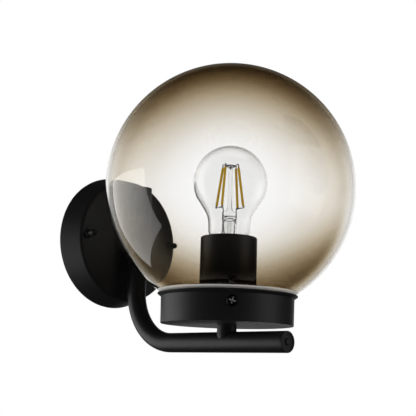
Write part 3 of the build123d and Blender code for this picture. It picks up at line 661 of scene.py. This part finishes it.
# Patches of worn bare metal 0.9 mm across, painted pale as a painted highlight, with the black left
# between them.
scratches_and_glints = add_node(
    tree, "ShaderNodeTexNoise", {}, {"Vector": place, "Scale": 1100.0, "Detail": 3.0}
)
wear_and_glint_patches = add_node(
    tree, "ShaderNodeMapRange", {},
    {"Value": scratches_and_glints.outputs["Fac"], "From Min": 0.40, "From Max": 0.56},
)
patterned(
    tree, shader, wear_and_glint_patches.outputs["Result"], "#1c1c1f", "#c4c4c8",
    relief=(scratches_and_glints.outputs["Fac"], 0.3, 0.0001),
)

# Heights are measured outwards from the globe's axis, along the screw.
head_radius = 0.00425
head_rounding = 0.0018
head_face = 0.059
head_seat = 0.0562
screw_tip = 0.05015
screw_radius = 0.002
screw_thread = 0.0007
screw_thread_depth = 0.0004
point_radius = 0.0016
point_length = 0.001
# One blade of the cross recess in millimetres, and how much it narrows to its foot.
recess_blade = (5.6, 1.3, 2.8)
recess_sink = 0.0003
recess_taper = 0.62
recess_reach = 0.0030
recess_depth = 0.0018
clamp_height = -0.064
first_bearing = -44
head_turn = 0.3


def joined(name, pieces):
    """Several meshes as one."""
    only(pieces[0])
    for piece in pieces[1:]:
        piece.select_set(True)
    bpy.ops.object.join()
    pieces[0].name = name
    return pieces[0]


shank = threaded_rod(
    "screw_shank", screw_radius, screw_tip, head_seat + 0.0002, screw_thread, screw_thread_depth
)
# The last millimetre is a plain dog point, which turns in the pad.
for vertex in shank.data.vertices:
    if vertex.co.z < screw_tip + point_length:
        dog_share = min(1, point_radius / math.hypot(vertex.co.x, vertex.co.y))
        vertex.co.x *= dog_share
        vertex.co.y *= dog_share
bpy.ops.mesh.primitive_cylinder_add(
    vertices=48, radius=head_radius, depth=head_face - head_seat,
    location=(0, 0, (head_face + head_seat) / 2),
)
head = begun("screw_head")
open_ring(head, head_face)
bpy.ops.mesh.bevel(offset=head_rounding, segments=8, profile=0.5)
bpy.ops.object.mode_set(mode="OBJECT")
for turn in (0, math.pi / 2):
    bpy.ops.object.select_all(action="DESELECT")
    bpy.ops.mesh.primitive_cube_add(size=0.001, location=(0, 0, head_face - recess_sink))
    blade = bpy.context.object
    blade.scale = recess_blade
    blade.rotation_euler = (0, 0, turn)
    bpy.ops.object.transform_apply(location=True, rotation=True, scale=True)
    for vertex in blade.data.vertices:
        if vertex.co.z < head_face - 0.001:
            vertex.co.x *= recess_taper
            vertex.co.y *= recess_taper
    only(head)
    recess = head.modifiers.new("recess", "BOOLEAN")
    recess.operation = "DIFFERENCE"
    recess.object = blade
    bpy.ops.object.modifier_apply(modifier="recess")
    bpy.data.objects.remove(blade)
head.data.materials.append(black_steel)
head.data.materials.append(worn_glinting_steel)
# The recess faces get the pale worn finish, whose pale colour is a painted highlight.
for face in head.data.polygons:
    x, y, z = face.center
    below_face = head_face - recess_depth < z < head_face - 0.0001
    face.material_index = 1 if below_face and math.hypot(x, y) < recess_reach else 0
head = joined("screw_head", [head, shank])
for number in (1, 2, 3):
    clamp_screw = head
    if number < 3:
        clamp_screw = head.copy()
        clamp_screw.data = head.data.copy()
        scene.collection.objects.link(clamp_screw)
    clamp_screw.name = f"cross_head_screw_{number}"
    bearing = math.radians(first_bearing + 120 * (number - 1))
    settle(
        clamp_screw, (globe_axis[0], globe_axis[1], clamp_height),
        (math.pi / 2, head_turn, bearing),
    )
    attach(clamp_screw, f"clamp_screw_{number}")
    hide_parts(f"clamp_screw_{number}")

# ---------------------------------------------------------------- globe
# A ball of blown soda-lime glass, 2.2 mm thick, lightly smoked on the inside. The smoke
# tint is thin round the middle and darker towards the crown and above the neck.
smoked_glass, tree, shader, place = start_finish("smoked_blown_glass", {"IOR": 1.5})
globe_low, globe_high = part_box("glass_globe")
neck_low, neck_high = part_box("globe_neck")
globe_radius = (globe_high.x - globe_low.x) / 2
globe_z = globe_high.z - globe_radius
neck_radius = neck_high.x
glass_wall = 0.0022
# The share of red, green and blue light that one depth of smoke lets through.
smoke_tint = (0.368, 0.297, 0.197, 1.0)
height = add_node(tree, "ShaderNodeSeparateXYZ", {}, {"Vector": place})
crown_darkening = add_node(
    tree, "ShaderNodeMapRange", smooth,
    {
        "Value": height.outputs["Z"],
        "From Min": globe_z + 0.010, "From Max": globe_z + 0.085, "To Min": 0.8, "To Max": 4.0,
    },
)
neck_darkening = add_node(
    tree, "ShaderNodeMapRange", smooth,
    {
        "Value": height.outputs["Z"],
        "From Min": globe_z - 0.020, "From Max": globe_z - 0.078, "To Min": 0.0, "To Max": 4.0,
    },
)
smoke = add_node(
    tree, "ShaderNodeMath", {"operation": "ADD"},
    {0: crown_darkening.outputs["Result"], 1: neck_darkening.outputs["Result"]},
)
# Sight lines that cross the smoked skin aslant pass through more of it. At the very edge
# they run along inside the clear wall and miss it, which shows where the smoke ends low.
slant = add_node(tree, "ShaderNodeLayerWeight", {}, {"Blend": 0.5})
slant_power = add_node(
    tree, "ShaderNodeMath", {"operation": "POWER"}, {0: slant.outputs["Facing"], 1: 1.4}
)
in_wall = add_node(
    tree, "ShaderNodeMapRange", smooth,
    {"Value": slant.outputs["Facing"], "From Min": 0.55, "From Max": 0.76},
)
how_low = add_node(
    tree, "ShaderNodeMapRange", smooth,
    {
        "Value": height.outputs["Z"],
        "From Min": globe_z + 0.088, "From Max": globe_z - 0.030, "To Min": 0.0, "To Max": 1.0,
    },
)
missed = add_node(
    tree, "ShaderNodeMath", {"operation": "MULTIPLY"},
    {0: in_wall.outputs["Result"], 1: how_low.outputs["Result"]},
)
seen_share = add_node(
    tree, "ShaderNodeMath", {"operation": "SUBTRACT"}, {0: 1.0, 1: missed.outputs["Value"]}
)
seen_smoke = add_node(
    tree, "ShaderNodeMath", {"operation": "MULTIPLY"},
    {0: smoke.outputs["Value"], 1: seen_share.outputs["Value"]},
)
smoke_depth = add_node(
    tree, "ShaderNodeMath", {"operation": "MULTIPLY"},
    {0: seen_smoke.outputs["Value"], 1: slant_power.outputs["Value"]},
)
glass_tint = add_node(
    tree, "ShaderNodeGamma", {},
    {"Color": smoke_tint, "Gamma": smoke_depth.outputs["Value"]},
)
# Hand-blown glass ripples over 15 mm, by one or two hundredths of a millimetre.
ripple = add_node(tree, "ShaderNodeTexNoise", {}, {"Vector": place, "Scale": 65.0, "Detail": 1.0})
glass_relief = add_node(
    tree, "ShaderNodeBump", {},
    {"Height": ripple.outputs["Fac"], "Strength": 0.05, "Distance": 0.0003},
)
# The corner and the neck are painted matt and whitish: a painted glow that stands in for the light
# the thick corner of the glass gathers and pipes round.
painted_glow_band = add_node(
    tree, "ShaderNodeMapRange", smooth,
    {
        "Value": height.outputs["Z"],
        "From Min": globe_z - 0.0832, "From Max": globe_z - 0.0838, "To Min": 0.0, "To Max": 1.0,
    },
)
body_colour = add_node(
    tree, "ShaderNodeMix", {"data_type": "RGBA"},
    {0: painted_glow_band.outputs["Result"], 6: glass_tint.outputs["Color"], 7: linear("#eeedea")},
)
body_polish = add_node(
    tree, "ShaderNodeMapRange", {},
    {"Value": painted_glow_band.outputs["Result"], "To Min": 0.0, "To Max": 0.6},
)
clearness = add_node(
    tree, "ShaderNodeMapRange", {},
    {"Value": painted_glow_band.outputs["Result"], "To Min": 1.0, "To Max": 0.25},
)
tree.links.new(body_colour.outputs[2], shader.inputs["Base Color"])
tree.links.new(body_polish.outputs["Result"], shader.inputs["Roughness"])
tree.links.new(clearness.outputs["Result"], shader.inputs["Transmission Weight"])
tree.links.new(glass_relief.outputs["Normal"], shader.inputs["Normal"])


def let_light_through(tree, shader, tint):
    """Rays that light what stands behind a glass pass it straight. Sight lines bend."""
    ray = add_node(tree, "ShaderNodeLightPath", {}, {})
    lighting = add_node(
        tree, "ShaderNodeMath", {"operation": "MAXIMUM"},
        {0: ray.outputs["Is Shadow Ray"], 1: ray.outputs["Is Diffuse Ray"]},
    )
    mirrored = add_node(
        tree, "ShaderNodeMath", {"operation": "SUBTRACT"},
        {0: ray.outputs["Is Glossy Ray"], 1: ray.outputs["Is Singular Ray"]},
    )
    straight = add_node(
        tree, "ShaderNodeMath", {"operation": "MAXIMUM"},
        {0: lighting.outputs["Value"], 1: mirrored.outputs["Value"]},
    )
    passing = add_node(tree, "ShaderNodeBsdfTransparent", {}, {"Color": tint})
    either = add_node(
        tree, "ShaderNodeMixShader", {},
        {0: straight.outputs["Value"], 1: shader.outputs["BSDF"], 2: passing.outputs["BSDF"]},
    )
    tree.links.new(either.outputs["Shader"], tree.nodes["Material Output"].inputs["Surface"])


let_light_through(tree, shader, glass_tint.outputs["Color"])


def close_shape():
    """From edit mode, turn all faces outwards and leave edit mode."""
    bpy.ops.mesh.select_all(action="SELECT")
    bpy.ops.mesh.normals_make_consistent(inside=False)
    bpy.ops.object.mode_set(mode="OBJECT")


def draw_through(last, rings):
    """In edit mode, extrude the selected ring through more rings of reach and height.

    A ring that isn't round has two reaches, across and through."""
    for ring in rings:
        bpy.ops.mesh.extrude_edges_move(
            TRANSFORM_OT_translate={"value": (0, 0, ring[-1] - last[-1])}
        )
        bpy.ops.transform.resize(
            value=(ring[0] / last[0], ring[-2] / last[-2], 1), center_override=(0, 0, ring[-1])
        )
        last = ring


def blown_shape(name, radius, middle_z, rings, wall, segments, ball_rings):
    """A ball up the Z axis, cut open at the first ring and drawn out through the others."""
    bpy.ops.object.select_all(action="DESELECT")
    bpy.ops.mesh.primitive_uv_sphere_add(
        segments=segments, ring_count=ball_rings, radius=radius, location=(0, 0, middle_z)
    )
    ball = begun(name)
    bpy.ops.object.mode_set(mode="EDIT")
    bpy.ops.mesh.select_all(action="SELECT")
    bpy.ops.mesh.bisect(plane_co=(0, 0, rings[0][1]), plane_no=(0, 0, 1), clear_inner=True)
    open_ring(ball, rings[0][1])
    draw_through(rings[0], rings[1:])
    close_shape()
    thicken(ball, wall, -1)
    return ball


# The ball runs into its neck through a hollow corner of 4 mm.
corner = 0.004
corner_r = neck_radius + corner
corner_z = globe_z - math.sqrt((globe_radius + corner) ** 2 - corner_r**2)
corner_start = math.atan2(globe_z - corner_z, -corner_r)
corner_steps = 8
neck_rounding = 0.0007
corner_rings = []
for step in range(corner_steps + 1):
    angle = corner_start + (math.pi - corner_start) * step / corner_steps
    corner_rings.append((corner_r + corner * math.cos(angle), corner_z + corner * math.sin(angle)))
corner_rings.append((neck_radius, neck_low.z))
globe = blown_shape("blown_globe", globe_radius, globe_z, corner_rings, glass_wall, 160, 112)
open_ring(globe, neck_low.z)
bpy.ops.mesh.bevel(offset=neck_rounding, segments=4)
bpy.ops.object.mode_set(mode="OBJECT")
settle(globe, globe_axis)
bpy.ops.object.shade_smooth()
globe.data.materials.append(smoked_glass)
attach(globe, "globe")
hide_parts("glass_globe", "globe_neck")

# ---------------------------------------------------------------- bulb cap
# An E27 cap of thin rolled brass, nickel plated. Black glass fills its foot round the
# centre contact, a disc with a drop of solder in its middle.
nickel, tree, shader, place = start_finish("nickel_plated_brass", {"Metallic": 1.0})
# Rolling marks of 1.5 mm.
rolling = add_node(tree, "ShaderNodeTexNoise", {}, {"Vector": place, "Scale": 650.0, "Detail": 3.0})
patterned(
    tree, shader, rolling.outputs["Fac"], "#b3aea4", "#d9d5cc",
    gloss=(rolling.outputs["Fac"], 0.18, 0.34), relief=(rolling.outputs["Fac"], 0.15, 0.00005),
)

cap_foot = 0.0117
cap_shoulder = 0.00105
cap_lip = 0.0003
cap_hole = 0.7
cap_low, cap_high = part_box("bulb_cap")
screw_cap = rolled_thread(
    "screw_cap", cap_low.z, cap_high.z,
    lambda z, wave: cap_foot
    + cap_shoulder * ramp(z, cap_low.z, cap_low.z + 0.0025)
    + cap_wave * wave * ramp(z, cap_low.z + 0.002, cap_low.z + 0.0045)
    * ramp(z, cap_high.z - 0.002, cap_high.z - 0.0045)
    + cap_lip * ramp(z, cap_high.z - 0.003, cap_high.z - 0.001),
)
open_ring(screw_cap, cap_low.z)
bpy.ops.mesh.extrude_edges_move()
bpy.ops.transform.resize(value=(cap_hole, cap_hole, 1), center_override=(0, 0, cap_low.z))
bpy.ops.object.mode_set(mode="OBJECT")
thicken(screw_cap, cap_sheet, -1)
settle(screw_cap, globe_axis)
screw_cap.data.materials.append(nickel)
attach(screw_cap, "bulb")
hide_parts("bulb_cap")

vitrite, tree, shader, place = start_finish("black_vitreous_glass", {"Roughness": 0.12})
# Cast glass with shallow flow marks of 2 mm.
cast = add_node(tree, "ShaderNodeTexNoise", {}, {"Vector": place, "Scale": 480.0, "Detail": 2.0})
patterned(
    tree, shader, cast.outputs["Fac"], "#0a0910", "#1a1722",
    relief=(cast.outputs["Fac"], 0.3, 0.0002),
)
coat(vitrite, "bulb_insulator")


def drawn_shape(name, sides, rings, inside=()):
    """A closed shape up the Z axis through its rings, hollowed from the first by an inside."""
    bpy.ops.object.select_all(action="DESELECT")
    bpy.ops.mesh.primitive_circle_add(
        vertices=sides, radius=rings[0][0], location=(0, 0, rings[0][1])
    )
    piece = begun(name)
    bpy.ops.object.mode_set(mode="EDIT")
    bpy.ops.mesh.select_all(action="SELECT")
    draw_through(rings[0], rings[1:])
    bpy.ops.mesh.edge_face_add()
    open_ring(piece, rings[0][1])
    draw_through(rings[0], inside)
    bpy.ops.mesh.edge_face_add()
    close_shape()
    return piece


contact_radius = 0.0045
contact_low, contact_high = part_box("bulb_contact")
contact_rings = (
    (contact_radius, contact_high.z), (contact_radius, contact_low.z + 0.0011),
    (0.0042, contact_low.z + 0.0007), (0.0026, contact_low.z + 0.0006),
    (0.0023, contact_low.z + 0.0002), (0.0015, contact_low.z), (0.0005, contact_low.z),
)
contact = drawn_shape("centre_contact", 48, contact_rings)
settle(contact, globe_axis)
contact.data.materials.append(nickel)
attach(contact, "bulb_slide")
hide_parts("bulb_contact")

# ---------------------------------------------------------------- bulb glass
# A 60 mm ball of clear glass, blown on a long flared neck that is cemented in the cap. The
# stem inside it is a flared tube, pinched flat round the lead wires, with a rod on top.
clear_glass, tree, shader, place = start_finish(
    "clear_soda_lime_glass", {"Roughness": 0.0, "IOR": 1.45, "Transmission Weight": 1.0}
)
# The machine-blown wall ripples over 8 mm.
glass_ripple = add_node(tree, "ShaderNodeTexNoise", {}, {"Vector": place, "Scale": 120.0})
clear_tint = add_node(
    tree, "ShaderNodeMix", {"data_type": "RGBA"},
    {0: glass_ripple.outputs["Fac"], 6: linear("#fdfdfc"), 7: linear("#ffffff")},
)
# Sight lines that graze the thin wall pass through more glass, so its edges look brown.
grazed = add_node(tree, "ShaderNodeLayerWeight", {}, {"Blend": 0.5})
grazed_share = add_node(
    tree, "ShaderNodeMapRange", {},
    {
        "Value": grazed.outputs["Facing"],
        "From Min": 0.55, "From Max": 0.95, "To Min": 0.0, "To Max": 0.8,
    },
)
edge_tint = add_node(
    tree, "ShaderNodeMix", {"data_type": "RGBA"},
    {0: grazed_share.outputs["Result"], 6: clear_tint.outputs[2], 7: linear("#a89f92")},
)
clear_relief = add_node(
    tree, "ShaderNodeBump", {},
    {"Height": glass_ripple.outputs["Fac"], "Strength": 0.04, "Distance": 0.0002},
)
tree.links.new(edge_tint.outputs[2], shader.inputs["Base Color"])
tree.links.new(clear_relief.outputs["Normal"], shader.inputs["Normal"])
let_light_through(tree, shader, clear_tint.outputs[2])

bulb_low, bulb_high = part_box("bulb_glass")
bulb_radius = (bulb_high.x - bulb_low.x) / 2
bulb_z = bulb_high.z - bulb_radius
bulb_wall = 0.0008
flare_angle = math.radians(24)
flare_z = bulb_z - bulb_radius * math.sin(flare_angle)
# Each ring's reach, and how far it stands below the middle of the ball.
bulb_flare = (
    (0.02630, 0.0142), (0.02490, 0.0163), (0.02345, 0.0185), (0.02205, 0.0207),
    (0.02070, 0.0228), (0.01945, 0.0249), (0.01845, 0.0269), (0.01770, 0.0291),
    (0.01725, 0.0315), (0.01698, 0.0343), (0.01685, 0.0372), (0.01680, 0.0405),
    (0.01650, 0.0418), (0.01560, 0.0432), (0.01400, 0.0444), (0.01250, 0.0451),
    (0.01190, 0.0460), (0.01190, bulb_z - bulb_low.z),
)
bulb_rings = [(bulb_radius * math.cos(flare_angle), flare_z)]
bulb_rings += [(reach, bulb_z - below) for reach, below in bulb_flare]
bulb = blown_shape("bulb_envelope", bulb_radius, bulb_z, bulb_rings, bulb_wall, 96, 64)
settle(bulb, globe_axis)
bpy.ops.object.shade_smooth()
bulb.data.materials.append(clear_glass)
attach(bulb, "bulb")
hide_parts("bulb_glass")

# The pinch is broad across the bulb and thin through it, so its rings are ovals.
mount_turn = math.radians(-38)
stem_outside = (
    (0.0100, -0.0140), (0.0086, -0.0126), (0.0070, -0.0090), (0.0061, -0.0040),
    (0.0058, 0.0010), (0.0057, 0.0040), (0.0060, 0.0054, 0.0056), (0.0061, 0.0038, 0.0072),
    (0.0060, 0.0024, 0.0088), (0.0060, 0.0019, 0.0105), (0.0058, 0.0018, 0.0116),
    (0.0048, 0.0017, 0.0122), (0.0028, 0.0017, 0.0130), (0.0021, 0.0018, 0.0142),
    (0.0018, 0.0160), (0.0017, 0.0200), (0.0017, 0.0450), (0.0019, 0.0465),
    (0.0018, 0.0478), (0.0011, 0.0486), (0.0003, 0.0489),
)
# The exhaust tube runs down the middle of the stem from a hole under the pinch.
stem_inside = (
    (0.0078, -0.0130), (0.0060, -0.0090), (0.0051, -0.0040), (0.0048, 0.0010),
    (0.0046, 0.0035), (0.0040, 0.0052), (0.0030, 0.0056), (0.0021, 0.0048),
    (0.0017, 0.0030), (0.0016, -0.0130), (0.0012, -0.0130), (0.0012, 0.0030),
    (0.0008, 0.0044), (0.0002, 0.0048),
)
tube_reach = 0.0020
tube_top = 0.0046
stem = drawn_shape("stem_glass", 40, stem_outside, stem_inside)
settle(stem, globe_axis, (0, 0, mount_turn))
bpy.ops.object.shade_smooth()
stem.data.materials.append(clear_glass)
# The exhaust tube is so thin that it shows as two dark edges with a clear middle.
thin_tube, tree, shader, place = start_finish("thin_drawn_glass_tube", {"Roughness": 0.1})
tube_edge = add_node(tree, "ShaderNodeLayerWeight", {}, {"Blend": 0.4})
# Marks of the drawing, 1.7 mm apart.
tube_streaks = add_node(tree, "ShaderNodeTexNoise", {}, {"Vector": place, "Scale": 600.0})
tube_shows = add_node(
    tree, "ShaderNodeMapRange", {},
    {
        "Value": tube_edge.outputs["Facing"],
        "From Min": 0.35, "From Max": 0.9, "To Min": 0.04, "To Max": 0.7,
    },
)
patterned(tree, shader, tube_streaks.outputs["Fac"], "#34332f", "#5b5952")
tree.links.new(tube_shows.outputs["Result"], shader.inputs["Alpha"])
stem.data.materials.append(thin_tube)
for face in stem.data.polygons:
    x, y, z = face.center
    reach = math.hypot(x, y - globe_axis[1])
    face.material_index = 1 if reach < tube_reach and z < tube_top else 0
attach(stem, "bulb")
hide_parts("bulb_stem")

# ---------------------------------------------------------------- filaments
# Four straight sticks of light-emitting chips on a strip of glass, coated in an amber
# phosphor gum. A tinned metal tab clips over each end and is welded to the wires.
phosphor, tree, shader, place = start_finish(
    "amber_phosphor_gum", {"Roughness": 0.55, "Specular IOR Level": 0.2}
)
# The gum swells over each chip, every 1.2 mm, and is darker between them.
chips = add_node(tree, "ShaderNodeTexNoise", {}, {"Vector": place, "Scale": 800.0, "Detail": 2.0})
patterned(
    tree, shader, chips.outputs["Fac"], "#9c7c00", "#c49e0a",
    relief=(chips.outputs["Fac"], 0.3, 0.0002),
)

nickel_wire, tree, shader, place = start_finish("drawn_nickel_wire", {"Metallic": 1.0})
# Welding heat leaves brown stains about 2 mm long.
heat = add_node(tree, "ShaderNodeTexNoise", {}, {"Vector": place, "Scale": 420.0, "Detail": 3.0})
patterned(
    tree, shader, heat.outputs["Fac"], "#2e2620", "#857d74", gloss=(heat.outputs["Fac"], 0.5, 0.3)
)

stick_radius = 0.00104
tab_radius = 0.00045
tab_length = 0.0012
foot_z = 0.0166
top_z = 0.0488
# Where the foot and the top of two filaments stand. The other two are half a turn round.
outer_ends = ((0.0103, -0.0033), (0.0060, -0.0024))
inner_ends = ((0.0069, 0.0033), (0.00475, 0.0024))
filament_ends = []
for side in (1, -1):
    for ends in (outer_ends, inner_ends):
        filament_ends.append([(side * x, side * y) for x, y in ends])
for number, (foot_at, top_at) in enumerate(filament_ends, 1):
    foot = Vector((*foot_at, foot_z))
    top = Vector((*top_at, top_z))
    length = (top - foot).length
    stick_rings = (
        (tab_radius, -tab_length), (tab_radius, 0.0), (0.0008, 0.0001), (0.00098, 0.0005),
        (stick_radius, 0.0012), (stick_radius, length - 0.0012), (0.00098, length - 0.0005),
        (0.0008, length - 0.0001), (tab_radius, length), (tab_radius, length + tab_length),
    )
    stick = drawn_shape(f"filament_{number}", 16, stick_rings)
    stick.data.materials.append(phosphor)
    stick.data.materials.append(nickel_wire)
    for face in stick.data.polygons:
        tab = face.center.z < 0.00005 or face.center.z > length - 0.00005
        face.material_index = 1 if tab else 0
    lean = (top - foot).to_track_quat("Z", "Y").to_euler()
    settle(stick, foot, lean)
    settle(stick, globe_axis, (0, 0, mount_turn))
    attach(stick, "bulb")
    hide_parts("bulb_filaments")

# ---------------------------------------------------------------- bulb wires
# Thin nickel wires: two leads from the pinch, each with a cross wire for the feet of two
# filaments, and a hooked spider in the end of the rod that ties their tops.


def bent_wire(name, points, radius):
    """A round wire along a smooth line through its control points."""
    bpy.ops.object.select_all(action="DESELECT")
    bpy.ops.curve.primitive_nurbs_path_add(location=(0, 0, 0))
    line = bpy.context.object
    line.name = name
    line.data.splines.clear()
    spline = line.data.splines.new("NURBS")
    spline.points.add(len(points) - 1)
    for point, place in zip(spline.points, points):
        point.co = (*place, 1.0)
    spline.order_u = 3
    spline.use_endpoint_u = True
    line.data.bevel_depth = radius
    line.data.bevel_resolution = 3
    line.data.resolution_u = 8
    line.data.use_fill_caps = True
    bpy.ops.object.convert(target="MESH")
    return bpy.context.object


lead_radius = 0.00042
cross_radius = 0.00032
lead_line = (
    (0.0036, -0.0125), (0.0042, -0.0040), (0.0050, 0.0060), (0.0052, 0.0100),
    (0.0052, 0.0145), (0.0056, 0.0156), (0.0086, 0.0156),
)
cross_line = (
    (0.0112, -0.0048, 0.0164), (0.0107, -0.0041, 0.0154), (0.0103, -0.0033, 0.0153),
    (0.0086, 0.0, 0.0156), (0.0069, 0.0033, 0.0153), (0.0065, 0.0041, 0.0154),
    (0.0060, 0.0048, 0.0164),
)
lead_parts = []
for side in (1, -1):
    lead_parts.append(bent_wire("lead", [(side * x, 0, z) for x, z in lead_line], lead_radius))
    lead_parts.append(
        bent_wire("cross_wire", [(side * x, side * y, z) for x, y, z in cross_line], cross_radius)
    )
leads = joined("lead_wires", lead_parts)
settle(leads, globe_axis, (0, 0, mount_turn))
leads.data.materials.append(nickel_wire)
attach(leads, "bulb")
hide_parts("bulb_leads")

spider_ring = 0.0036
spider_z = 0.0500
ring_wire = 0.00038
arm_wire = 0.00035
pin_wire = 0.0004
bar_wire = 0.0003
bpy.ops.object.select_all(action="DESELECT")
bpy.ops.mesh.primitive_torus_add(
    major_radius=spider_ring, minor_radius=ring_wire, major_segments=48, minor_segments=10,
    location=(0, 0, spider_z),
)
spider_parts = [
    begun("spider_ring"),
    bent_wire("spider_pin", [(0, 0, 0.0470), (0, 0, 0.0490), (0, 0, spider_z)], pin_wire),
    bent_wire(
        "spider_bar",
        [(-spider_ring, 0, spider_z), (0, 0, spider_z + 0.0002), (spider_ring, 0, spider_z)],
        bar_wire,
    ),
]
for _, (top_x, top_y) in filament_ends:
    bearing = math.atan2(top_y, top_x)
    ring_x, ring_y = spider_ring * math.cos(bearing), spider_ring * math.sin(bearing)
    spider_parts.append(
        bent_wire(
            "spider_arm",
            [
                (ring_x, ring_y, spider_z),
                ((ring_x + top_x) / 2, (ring_y + top_y) / 2, spider_z + 0.0012),
                (top_x, top_y, spider_z + 0.0016), (top_x * 1.06, top_y * 1.06, spider_z),
                (top_x, top_y, top_z + 0.0007),
            ],
            arm_wire,
        )
    )
spider = joined("wire_spider", spider_parts)
settle(spider, globe_axis, (0, 0, mount_turn))
spider.data.materials.append(nickel_wire)
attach(spider, "bulb")
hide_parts("bulb_supports")
